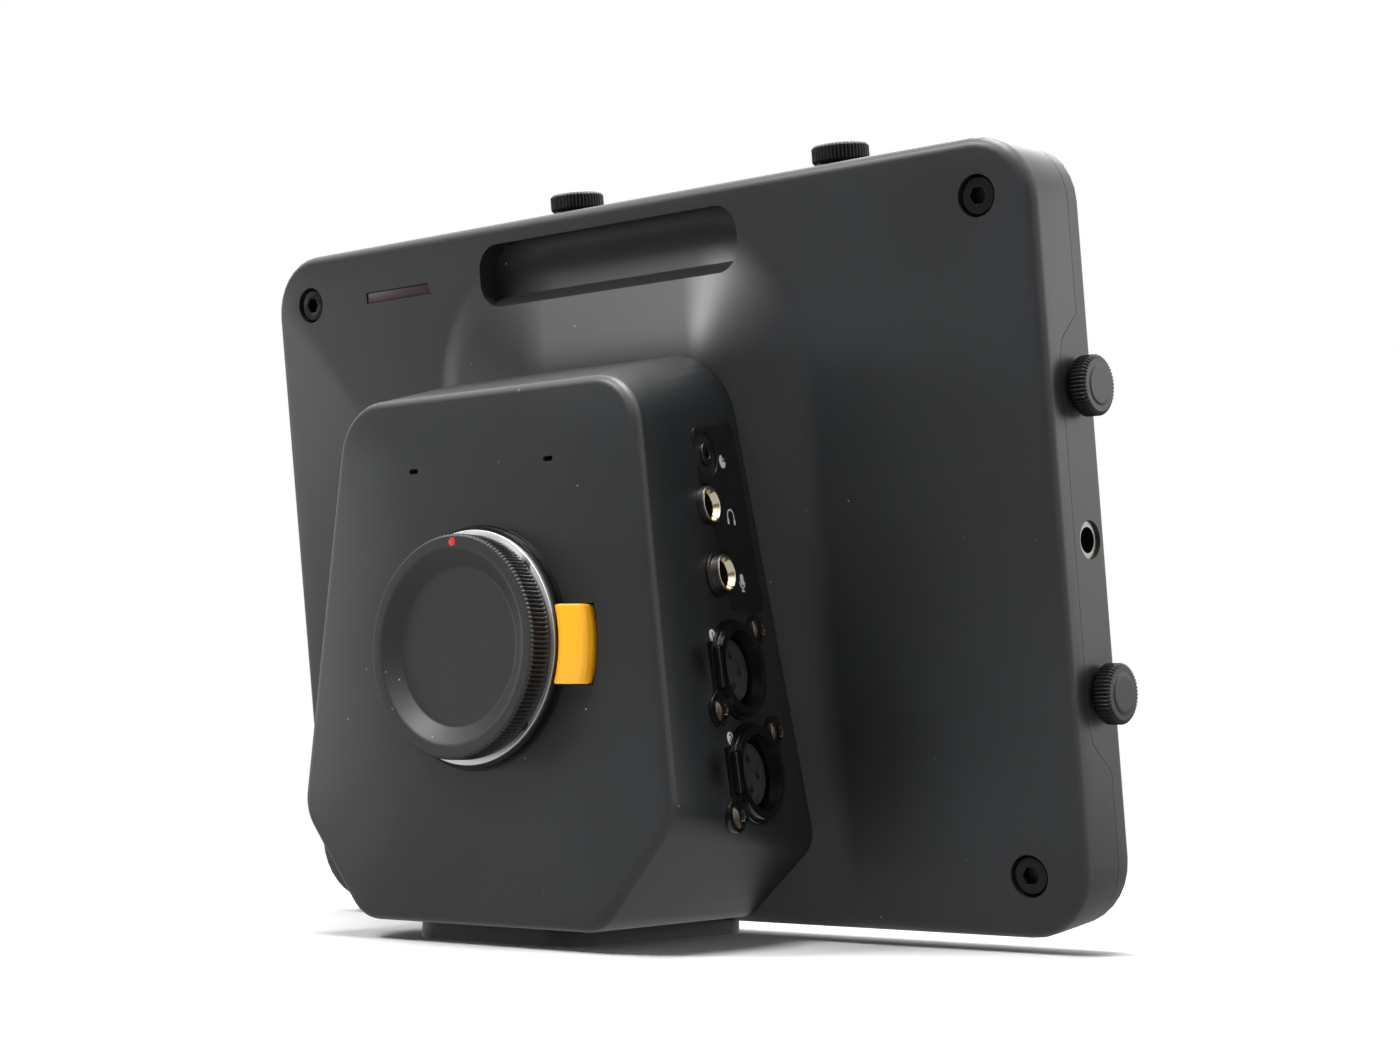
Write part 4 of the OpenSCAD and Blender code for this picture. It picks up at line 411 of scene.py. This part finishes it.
def rounded_path(corners, radius, steps=4, closed=False):
    """A path whose corners are replaced by arcs: each arc is a quadratic curve from one radius before the
    corner to one radius after it."""
    corners = np.asarray(corners, float)
    count = len(corners)
    rows = []
    for k in range(count):
        if not closed and k in (0, count - 1):
            rows.append(corners[k:k + 1])
            continue
        here, last, following = corners[k], corners[k - 1], corners[(k + 1) % count]
        reach = min(radius, 0.49 * np.linalg.norm(here - last), 0.49 * np.linalg.norm(following - here))
        a = here + (last - here) / np.linalg.norm(last - here) * reach
        b = here + (following - here) / np.linalg.norm(following - here) * reach
        t = np.linspace(0.0, 1.0, steps + 1)[:, None]
        rows.append((1 - t) ** 2 * a + 2 * t * (1 - t) * here + t ** 2 * b)
    return np.concatenate(rows)


# Nickelled brass, turned: a grey metal gleam with faint tool marks.
bush_nickel = coated("nickelled_brass", "#6f6d68", "#8c8a85", 0.28, 0.40, 0.004, metal=1.0)
smooth_node("thread_inserts", bush_nickel)


# Thumbscrews: knurled heads of blackened brass that hold a sun shade. Straight knurl, about one
# millimetre from rib to rib, with a chamfer at each end of the head.
def rim_frame(side, s, h):
    """Places points on the rim's top or side: the screw's axis leaves the rim, level or up the slope."""
    if side:
        return lambda x, y, out: on_panel(side * (133.1 + out), 14.4 + y, h + x)
    return lambda x, y, out: on_panel(s + x, 14.4 + y, 193.2 + out)


# Blackened brass, knurled and turned: small crisp glints on the crests of the ribs.
knurled_black = coated("blackened_brass", "#0c0c0d", "#151516", 0.36, 0.25, 0.006, metal=0.3)
thumb_profile = filled(rounded_path(
    [(0.0, 6.2), (4.6, 6.2), (4.9, 5.95), (6.75, 5.95), (7.4, 5.3), (7.4, 1.9), (6.7, 1.2),
     (5.4, 1.2), (5.4, 0.3), (3.1, 0.3), (3.1, -9.5), (0.0, -9.5)], 0.12, 2), 0.8)
thumb_ribs = np.where((thumb_profile[:, 0] > 6.6) & (thumb_profile[:, 1] > 1.25), 0.42, 0.0)
thumb_rib_count = 46
thumb_places = {"thumbscrew_right_upper": (1, 0.0, 131.4), "thumbscrew_right_lower": (1, 0.0, 57.5),
                "thumbscrew_left_upper": (-1, 0.0, 131.4), "thumbscrew_left_lower": (-1, 0.0, 57.5),
                "thumbscrew_top_left": (0, -21.5, 0.0), "thumbscrew_top_right": (0, 69.1, 0.0)}
for thumb_name, thumb_place in thumb_places.items():
    thumb = turned("knurled_" + thumb_name, thumb_profile, rim_frame(*thumb_place),
                   thumb_rib_count * 8, thumb_rib_count, thumb_ribs)
    thumb.data.materials.append(knurled_black)
    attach(thumb, thumb_name)
    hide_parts(thumb_name)

# Tally window: a strip of dark red acrylic, cut to shape and glued flush in the face, with its lamp
# board behind it.
# Smoked red acrylic, unlit: nearly black, with a dull red cast where light meets it.
tally_red = coated("smoked_red_acrylic", "#241012", "#2c1416", 0.36, 1.20, 0.002)
smooth_node("tally_window", tally_red, 0.15)
# Solder mask over copper on glass epoxy: deep green with an even half gloss.
circuit_green = coated("solder_mask_green", "#123c28", "#1a4a33", 0.35, 2.00, 0.010)
smooth_node("tally_board", circuit_green)


# Lens mount: a black anodised ring screwed to the nose, and the bright bayonet ring in front of it,
# turned from brass and chromed, held by four small screws.
def polished(name, colour, rough, grain_mm=0.5, height_mm=0.001):
    """Polished metal: one colour with a faint cloud of wear in the roughness."""
    material, output = new_material(name)
    place = add_node(material, "ShaderNodeTexCoord")
    wear = add_node(material, "ShaderNodeTexNoise", Vector=(place, "Object"),
                    Scale=1000.0 / 9.0, Detail=4.0)
    grain = add_node(material, "ShaderNodeTexNoise", Vector=(place, "Object"),
                     Scale=1000.0 / grain_mm, Detail=2.0)
    gloss = add_node(material, "ShaderNodeMapRange", i0=(wear, 0), i3=rough - 0.03, i4=rough + 0.08)
    bump = add_node(material, "ShaderNodeBump", Distance=height_mm / 1000.0, Height=(grain, 0))
    skin = add_node(material, "ShaderNodeBsdfPrincipled", Base_Color=linear(colour), Metallic=1.0,
                    Roughness=(gloss, 0), Normal=(bump, "Normal"))
    material.node_tree.links.new(skin.outputs[0], output.inputs["Surface"])
    return material


# Black anodised aluminium, turned: a darker and sharper sheen than the coat round it.
black_anodised = coated("black_anodised_aluminium", "#0b0b0c", "#121213", 0.24, 0.30, 0.003, metal=0.4)
smooth_node("mount_ring", black_anodised, 0.15)
# Satin chrome on turned brass: fine turning marks that make a broad white band of the lamps.
chrome = polished("polished_chrome", "#fbfbf9", 0.38)
smooth_node("bayonet_ring", chrome, 0.30)
# Plain machined steel: mid grey with a clear but softened reflection.
plain_steel = polished("plain_steel", "#9a9b9c", 0.28)
smooth_node("mount_screws", plain_steel, 0.08)


# Body cap: moulded in black nylon, with a dished front, a knurled rim about one millimetre from rib to
# rib, three bayonet lugs behind and a red paint dot that lines up with the mount.
def on_lens(x, y, out):
    """Places lens mount points: x across, y up and out from the nose's face."""
    x, y, out = np.broadcast_arrays(x, y, out)
    return np.stack([x, -48.0 - out, 73.9 + y], -1)


cap_front = rounded_path([(0.0, 6.67), (19.9, 6.67), (24.1, 9.45), (24.7, 9.67), (27.35, 9.67),
                          (28.0, 9.15), (28.0, 3.5), (25.6, 3.5), (25.6, 4.87), (19.1, 4.87),
                          (19.1, 0.4), (19.1, -0.9), (17.5, -0.9), (17.5, 4.87), (0.0, 4.87)], 0.35, 4)
cap_profile = filled(cap_front, 0.9)
cap_on_rim = (cap_profile[:, 0] > 27.0) & (cap_profile[:, 1] > 3.9) & (cap_profile[:, 1] < 9.6)
cap_at_edge = (cap_profile[:, 0] > 27.0) & (cap_profile[:, 1] >= 8.9)
cap_rib_depth = np.where(cap_on_rim, np.where(cap_at_edge, 0.34, 0.70), 0.0)


def cap_lugs(profile, turn):
    """Adds 1.9 mm to the collar's radius over three spans of 50 degrees, near its rear edge."""
    row = (profile[:, 0] > 18.0) & (profile[:, 0] < 19.5) & (profile[:, 1] < 0.5)
    away = np.abs((np.degrees(turn) - 110.0 + 60.0) % 120.0 - 60.0)
    return row[:, None] * (away < 25.0)[None, :] * 1.9


cap_ribs = 152
# Moulded black nylon: a matt skin eroded by the mould, greyer and flatter than the coat.
nylon_black = coated("moulded_black_nylon", "#191a1b", "#222324", 0.46, 0.22, 0.010, 0.10)
cap_shell = turned("dished_cap", cap_profile, on_lens, cap_ribs * 6, cap_ribs, cap_rib_depth, cap_lugs)
cap_shell.data.materials.append(nylon_black)
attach(cap_shell, "body_cap")
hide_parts("body_cap")

# Red enamel paint, dabbed in by hand: a small raised dot with a wet gloss.
red_paint = coated("red_paint_dot", "#b4201c", "#cf2b24", 0.30, 0.40, 0.006)
cap_dot = turned("cap_index_dot", [(0.0, 0.14), (0.7, 0.12), (1.05, 0.05), (1.15, -0.1)],
                 lambda x, y, out: on_lens(0.4 + x, 25.9 + y, 9.67 + out), 32)
cap_dot.data.materials.append(red_paint)
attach(cap_dot, "body_cap")

# Lens release and its lock pin: a button moulded in orange ABS that slides into the nose beside the
# mount and draws back a steel pin, against the springs of the mount.
# Moulded orange ABS: a smooth, saturated plastic with soft bright edges.
orange_abs = coated("moulded_orange_abs", "#fba916", "#ffba28", 0.30, 0.60, 0.004)
# The pad is a rounded cross-section of radius and height, carried straight down beside the mount, with
# a low shelf next to the ring. Its ends close by drawing the section in towards its middle.
release_edge = rounded_path([(31.3, -2.0), (31.3, 4.2), (33.0, 4.2), (33.0, 5.2), (38.0, 2.6),
                             (38.6, 1.4), (38.6, -2.0)], 0.45, 4, closed=True)
release_y = np.concatenate([[-9.6, -9.6, -9.46, -9.1], np.linspace(-8.6, 8.6, 19),
                            [9.1, 9.46, 9.6, 9.6]])[:, None]
release_share = np.concatenate([[0.0, 0.9, 0.97, 1.0], np.ones(19), [1.0, 0.97, 0.9, 0.0]])[:, None]
release_r = 35.0 + (release_edge[None, :, 0] - 35.0) * release_share
release_out = 1.6 + (release_edge[None, :, 1] - 1.6) * release_share
release_pad = surface_grid("release_button", on_lens(np.sqrt(release_r ** 2 - release_y ** 2),
                                                     release_y, release_out), closed_v=True)
release_pad.data.materials.append(orange_abs)
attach(release_pad, "lens_release")
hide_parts("lens_release")
smooth_node("lock_pin", plain_steel, 0.1)

# Sensor group: a stamped steel frame behind the lens mount holds the glass filter in front, then the
# sensor on its board. The two microphones sit behind their slots in the nose's face.
smooth_node("sensor_frame", plain_steel, 0.2)
smooth_node("sensor_board", circuit_green)
# Cover glass over a silicon sensor: dark blue and mirror smooth.
chip_glass = coated("sensor_glass", "#1c2530", "#2a3644", 0.08, 1.50, 0.001)
smooth_node("image_sensor", chip_glass, 0.1)
# Infrared filter glass with a coating: a pale blue cast and a clear reflection.
filter_blue = coated("coated_filter_glass", "#5f8a98", "#77a3b0", 0.05, 2.00, 0.001)
smooth_node("sensor_filter", filter_blue, 0.1)
smooth_node("microphones", plain_steel, 0.15)


# Label plate and jack sockets: a thin black anodised plate let into the right wall, with three
# sockets through it. The two large ones have nickelled bushes with a polished lead-in.
def plate(name, outline, frame_of, levels):
    """A flat plate with rounded edges. Each level is an inset of the outline, along its own normals, and a
    height, and the last level is closed by one flat face."""
    outline = np.asarray(outline, float)
    along = np.roll(outline, -1, 0) - np.roll(outline, 1, 0)
    along /= np.linalg.norm(along, axis=1)[:, None]
    inward = np.stack([-along[:, 1], along[:, 0]], -1)
    rings = [outline + inward * inset for inset, _ in levels]
    points = np.concatenate([frame_of(height, ring[:, 0], ring[:, 1])
                             for ring, (_, height) in zip(rings, levels)])
    count = len(outline)
    k = np.arange(count)
    following = (k + 1) % count
    faces = []
    for level in range(len(levels) - 1):
        a = level * count
        faces += np.stack([a + k, a + following, a + count + following, a + count + k], -1).tolist()
    faces.append((np.arange(count) + (len(levels) - 1) * count).tolist())
    return mesh_piece(name, points, faces)


def wall_place(side, y, z):
    """A function that places out, rearward and up on the wall at one place."""
    at = wall_frame(side, y, z)
    return lambda out, rear, rise: on_wall(at, out, rear, rise)


def wall_turn(side, y, z):
    """A function that places turned points, whose height leaves the wall, at one place."""
    at = wall_frame(side, y, z)
    return lambda x, y2, out: on_wall(at, out, x, y2)


# Black anodised label sheet: thin, flat and a touch glossier than the coat.
label_black = coated("black_anodised_label", "#0d0d0e", "#131314", 0.36, 0.30, 0.003)
smooth_node("connector_plate", label_black, 0.15)
smooth_node("output_plate", label_black)
# Nickel plate, polished, with a warm cast: sharp pale glints round the lead-in.
nickel = polished("polished_nickel", "#ddcfb2", 0.12)
# Nickel plate as turned: a dark grey metal that keeps its glints narrow.
nickel_side = polished("turned_nickel", "#5c5a58", 0.34)


def jack_profile(out, washer):
    """A jack from the bottom of its bore, up the bore, over the lead-in and the rim and down the bush."""
    seat = [(5.6, 1.0), (5.6, 0.1)] if washer else []
    return filled(rounded_path([(0.0, out - 15.0), (3.25, out - 15.0), (3.25, out - 1.7),
                                (4.15, out - 0.12), (4.45, out), (4.7, out - 0.3)]
                               + ([(4.7, 1.0)] + seat if washer else []) +
                               [(4.7, 0.1), (4.7, -1.6), (6.4, -1.6), (6.4, -18.0), (0.0, -18.0)],
                               0.1, 2), 2.0)


for jack_name, jack_y, jack_z, jack_out in (("headphone_jack", -17.0, 109.1, 2.0),
                                            ("mic_jack", -15.5, 91.8, 3.3)):
    jack = turned("nickelled_" + jack_name, jack_profile(jack_out, jack_name == "mic_jack"),
                  wall_turn(1, jack_y, jack_z), 64)
    jack.data.materials.append(nickel)
    jack.data.materials.append(nickel_side)
    # The outside of the bush is left as turned, and the rim and the lead-in are polished.
    jack_foot, jack_way = wall_frame(1, jack_y, jack_z)[:2]
    jack_faces = np.empty(3 * len(jack.data.polygons))
    jack.data.polygons.foreach_get("center", jack_faces)
    jack_away = jack_faces.reshape(-1, 3) * 1000.0 - jack_foot
    jack_rise = jack_away @ jack_way
    jack_reach = np.linalg.norm(jack_away - jack_rise[:, None] * jack_way, axis=1)
    jack.data.polygons.foreach_set("material_index", (jack_reach > 4.56).astype(int))
    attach(jack, "camera")
    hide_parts(jack_name)
# Moulded black PBT: dark and evenly half glossy.
jack_black = coated("moulded_black_pbt", "#08080a", "#101012", 0.30, 0.30, 0.004)
smooth_node("remote_jack", jack_black, 0.3)

# XLR sockets: die-cast shells on an eared flange, lacquered black, each with a moulded contact insert
# sunk in it, a latch at the front and two domed screws with six-lobed recesses.
# Die-cast zinc, black lacquered: the glossiest black here, with thin bright rims.
xlr_black = coated("moulded_black_zinc", "#070708", "#0e0e10", 0.20, 0.35, 0.003)
# Moulded grey-black nylon: matt, so it stands out dull inside its glossy shell.
insert_black = coated("moulded_grey_nylon", "#27282b", "#313235", 0.50, 0.25, 0.008)
for xlr in ("xlr_1", "xlr_2"):
    smooth_node(xlr + "_shell", xlr_black, 0.3)
    smooth_node(xlr + "_insert", insert_black, 0.15)
    smooth_node(xlr + "_latch", xlr_black, 0.3)


def domed_screw(name, frame_of, radius, height):
    """A domed screw head with a six-lobed recess: the dome is a part of a circle, and the recess drops
    where the radius is under a wavy line of six lobes."""
    turn = np.linspace(0.0, 2.0 * math.pi, 72, endpoint=False)
    share = np.concatenate([np.linspace(0.0, 1.0, 22), [1.0]])
    edge = 0.42 * (1.0 + 0.16 * np.cos(6 * turn))
    row = share[:, None]
    inside = np.clip((edge[None, :] - row) / 0.07 + 0.5, 0.0, 1.0)
    dome = height * (1.0 - 0.75 * row ** 2.4)
    out = dome - 0.8 * inside
    out[-1] = -0.3
    points = frame_of(radius * row * np.cos(turn), radius * row * np.sin(turn), out)
    return surface_grid(name, points, closed_v=True)


# Polished steel under thin black oxide: a brown-grey mirror on the domes.
bright_oxide = coated("polished_black_oxide", "#3b352f", "#57504a", 0.16, 0.30, 0.003, metal=1.0)
for xlr_y, xlr_z, xlr_number in ((-10.6, 68.4, "1"), (-7.4, 42.8, "2")):
    for screw_side in (-1.0, 1.0):
        screw_at = wall_frame(1, xlr_y, xlr_z)
        screw = domed_screw(
            "xlr_%s_screw_%s" % (xlr_number, "rear" if screw_side > 0 else "front"),
            lambda x, y2, out, at=screw_at, k=screw_side: on_wall(at, out + 0.9, x + 12.6 * k,
                                                                 y2 + 10.4 * k), 3.0, 1.6)
        screw.data.materials.append(bright_oxide)
        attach(screw, "camera")
        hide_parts("connector_screws")


# Printed signs on the right wall: pale screen print, a tag with the channel number at each XLR socket
# and a plain sign at each jack. The prints are drawn 0.06 mm thick so that they show.
def stroke(name, path, width, frame_of, lift, thick=0.06, closed=False):
    """A flat line along a path: each point gives a left and a right edge half the width away, at the
    height of the print and at its foot."""
    path = np.asarray(path, float)
    if closed:
        along = np.roll(path, -1, 0) - np.roll(path, 1, 0)
    else:
        along = np.gradient(path, axis=0)
    along /= np.linalg.norm(along, axis=1)[:, None]
    side_way = np.stack([-along[:, 1], along[:, 0]], -1) * width / 2.0
    left, right = path + side_way, path - side_way
    columns = [frame_of(lift, left[:, 0], left[:, 1]),
               frame_of(lift + thick, left[:, 0], left[:, 1]),
               frame_of(lift + thick, right[:, 0], right[:, 1]),
               frame_of(lift, right[:, 0], right[:, 1])]
    return surface_grid(name, np.stack(columns, 1), closed_u=closed)


def arc(centre, radius, start, end, count=24):
    """Points on an arc, from one angle to another in degrees."""
    turn = np.radians(np.linspace(start, end, count))
    return np.stack([centre[0] + radius * np.cos(turn), centre[1] + radius * np.sin(turn)], -1)


def printed(piece, material):
    """Finishes a print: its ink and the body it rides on."""
    piece.data.materials.append(material)
    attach(piece, "camera")
    return piece


# Pale grey screen ink: flat and opaque, with a faint mesh grain.
pale_ink = coated("pale_grey_ink", "#b9bbbd", "#c9cbcd", 0.55, 0.20, 0.004)
# Dark grey screen ink, for the digits on the pale tags.
dark_ink = coated("dark_grey_ink", "#2c2e31", "#36383b", 0.55, 0.20, 0.004)
tag_upright = np.concatenate([arc((0.0, 0.75), 1.5, 0.0, 180.0, 20), [[-1.5, -2.6], [1.5, -1.7]]])
tag_outline = tag_upright @ np.array([[0.74, 0.67], [-0.67, 0.74]])
for tag_y, tag_z, tag_number in ((-20.5, 76.0, "1"), (-17.0, 51.0, "2")):
    tag_at = wall_place(1, tag_y, tag_z)
    printed(plate("tag_" + tag_number, tag_outline, tag_at, [(0.0, 0.0), (0.0, 0.08), (0.03, 0.1)]),
            pale_ink)
    if tag_number == "1":
        digit = [(-0.95, 0.95), (-0.45, 1.35), (-0.45, -0.35)]
    else:
        digit = np.concatenate([arc((-0.4, 0.85), 0.5, 170.0, -30.0, 12), [(-0.95, -0.35), (0.15, -0.35)]])
    printed(stroke("digit_" + tag_number, digit, 0.34, tag_at, 0.1), dark_ink)

clock_at = wall_place(1, -5.9, 121.4)
clock_face = np.concatenate([arc((0.0, 0.0), 1.75, 90.0, 360.0, 40), [[0.1, -0.05], [-0.05, 0.1]]])
printed(plate("sign_remote", clock_face, clock_at, [(0.0, 0.35), (0.0, 0.48)]), pale_ink)
clock_part = np.concatenate([[[0.35, 0.35]], arc((0.35, 0.35), 1.45, 4.0, 86.0, 14)])
printed(plate("sign_remote_part", clock_part, clock_at, [(0.0, 0.35), (0.0, 0.48)]), pale_ink)
phones_at = wall_place(1, -4.6, 107.4)
phones_path = np.concatenate([[[1.75, -1.9]], arc((0.0, 0.0), 1.75, 0.0, 180.0), [[-1.75, -1.9]]])
printed(stroke("sign_phones", phones_path, 0.42, phones_at, 0.36), pale_ink)
for phones_side in (-1.75, 1.75):
    printed(stroke("sign_phones_pad_%s" % ("left" if phones_side < 0 else "right"),
                   [(phones_side, -0.7), (phones_side, -2.1)], 0.8, phones_at, 0.37), pale_ink)
talk_at = wall_place(1, -2.6, 91.0)
capsule = np.concatenate([arc((0.0, 1.0), 0.85, 0.0, 180.0, 14), arc((0.0, -0.2), 0.85, 180.0, 360.0, 14)])
printed(plate("sign_talk_capsule", capsule, talk_at, [(0.0, 0.35), (0.0, 0.48)]), pale_ink)
printed(stroke("sign_talk_cradle", arc((0.0, -0.2), 1.45, 180.0, 360.0), 0.34, talk_at, 0.36), pale_ink)
printed(stroke("sign_talk_stem", [(0.0, -1.5), (0.0, -2.4)], 0.4, talk_at, 0.36), pale_ink)
printed(stroke("sign_talk_foot", [(-0.9, -2.5), (0.9, -2.5)], 0.4, talk_at, 0.36), pale_ink)

# Left side sockets: three turned and nickelled coaxial sockets, a folded steel optical cage and a
# moulded black power socket, let through a plate of the left wall.
for coax in ("sdi_out", "sdi_in", "reference_in"):
    smooth_node(coax, nickel_side, 0.25)
smooth_node("optical_port", plain_steel, 0.2)
smooth_node("power_socket", jack_black, 0.3)

# Electronics: the main board stands in the tray with an extruded heat sink and a moulded fan on it.
# The battery pack, cells in a blue shrink sleeve, lies on the floor of the nose.
# Extruded aluminium: pale grey with lines along the fins.
sink_grey = brushed("extruded_aluminium", "#a3a5a7", 0.40, 2)
smooth_node("main_board", circuit_green)
smooth_node("heat_sink", sink_grey, 0.15)
smooth_node("fan_frame", insert_black, 0.3)
smooth_node("fan_rotor", jack_black, 0.2)
# Shrink sleeve of blue PVC: a thin plastic skin with a soft shine.
battery_blue = coated("battery_sleeve", "#22304f", "#2c3b5d", 0.35, 1.50, 0.010)
smooth_node("battery_pack", battery_blue, 1.2)
smooth_node("button_board", circuit_green)

# Display: the panel module in its folded steel case, behind a cover glass that is printed black round
# the picture and bonded flush in the rear housing.
# Folded steel case of the display module, grey primed: dull and even.
display_grey = coated("display_backlight_case", "#3a3c3e", "#47494b", 0.40, 0.60, 0.004)
smooth_node("lcd_module", display_grey, 0.3)
# Cover glass: mirror smooth with faint smears, deep black round the edge and a shade paler where the
# switched-off picture area shows through.
picture_middle = 0.1136
picture_half_height = 0.0674
picture_half_width = 0.1085
glass_black, glass_output = new_material("black_backed_glass")
glass_place = add_node(glass_black, "ShaderNodeTexCoord")
glass_parts = add_node(glass_black, "ShaderNodeSeparateXYZ", i0=(glass_place, "Object"))
glass_across = add_node(glass_black, "ShaderNodeMath", operation="ABSOLUTE", i0=(glass_parts, "X"))
glass_level = add_node(glass_black, "ShaderNodeMath", operation="SUBTRACT", i0=(glass_parts, "Z"),
                       i1=picture_middle)
glass_level = add_node(glass_black, "ShaderNodeMath", operation="ABSOLUTE", i0=(glass_level, 0))
glass_wide = add_node(glass_black, "ShaderNodeMath", operation="LESS_THAN", i0=(glass_across, 0),
                      i1=picture_half_width)
glass_high = add_node(glass_black, "ShaderNodeMath", operation="LESS_THAN", i0=(glass_level, 0),
                      i1=picture_half_height)
glass_both = add_node(glass_black, "ShaderNodeMath", operation="MULTIPLY", i0=(glass_wide, 0),
                      i1=(glass_high, 0))
glass_smear = add_node(glass_black, "ShaderNodeTexNoise", Vector=(glass_place, "Object"), Scale=40.0,
                       Detail=5.0)
glass_tint = add_node(glass_black, "ShaderNodeMix", data_type="RGBA", i0=(glass_both, 0),
                      i6=linear("#020203"), i7=linear("#15171b"))
glass_gloss = add_node(glass_black, "ShaderNodeMapRange", i0=(glass_smear, 0), i3=0.03, i4=0.12)
glass_skin = add_node(glass_black, "ShaderNodeBsdfPrincipled", Base_Color=(glass_tint, 2),
                      Roughness=(glass_gloss, 0))
glass_black.node_tree.links.new(glass_skin.outputs[0], glass_output.inputs["Surface"])
smooth_node("cover_glass", glass_black, 0.25)

# Rear buttons: seven round keys moulded in black ABS with a soft silicone coat, each on its own stem
# and printed with a plain sign, from iris at one end to power at the other.
# Silicone-coated ABS: a soft black skin that hardly shines.
key_black = coated("soft_touch_abs", "#131415", "#1b1c1d", 0.50, 0.20, 0.006)
key_pitch = 24.0
key_row = 15.6
key_top = 23.0
key_ring = arc((0.0, 0.0), 1.7, 0.0, 345.0, 24)
key_signs = {
    "iris": [(key_ring, True), (arc((0.0, 0.0), 0.6, 0.0, 340.0, 18), True)],
    "focus": [(arc((0.0, 0.0), 0.7, 0.0, 340.0, 18), True), (arc((0.0, 0.0), 1.8, -42.0, 42.0), False),
              (arc((0.0, 0.0), 1.8, 138.0, 222.0), False)],
    "display": [([(-1.8, -1.2), (1.8, -1.2), (1.8, 1.2), (-1.8, 1.2)], True)],
    "up": [([(-1.4, -0.7), (0.0, 0.8), (1.4, -0.7)], False)],
    "down": [([(-1.4, 0.7), (0.0, -0.8), (1.4, 0.7)], False)],
    "menu": [([(-1.6, 1.1), (1.6, 1.1)], False), ([(-1.6, 0.0), (1.6, 0.0)], False),
             ([(-1.6, -1.1), (1.6, -1.1)], False)],
    "power": [(arc((0.0, 0.0), 1.6, 125.0, 415.0, 30), False), ([(0.0, 0.4), (0.0, 2.0)], False)]}
for key_place, (key, key_paths) in enumerate(key_signs.items()):
    smooth_node("button_" + key, key_black, 0.35)
    key_at = (key_place - 3) * key_pitch
    for key_part, (key_path, key_closed) in enumerate(key_paths):
        key_print = stroke("sign_%s_%d" % (key, key_part), key_path, 0.36,
                           lambda out, a, b, k=key_at: on_panel(k - a, key_top + out, key_row + b),
                           0.02, closed=key_closed)
        key_print.data.materials.append(pale_ink)
        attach(key_print, "button_" + key)
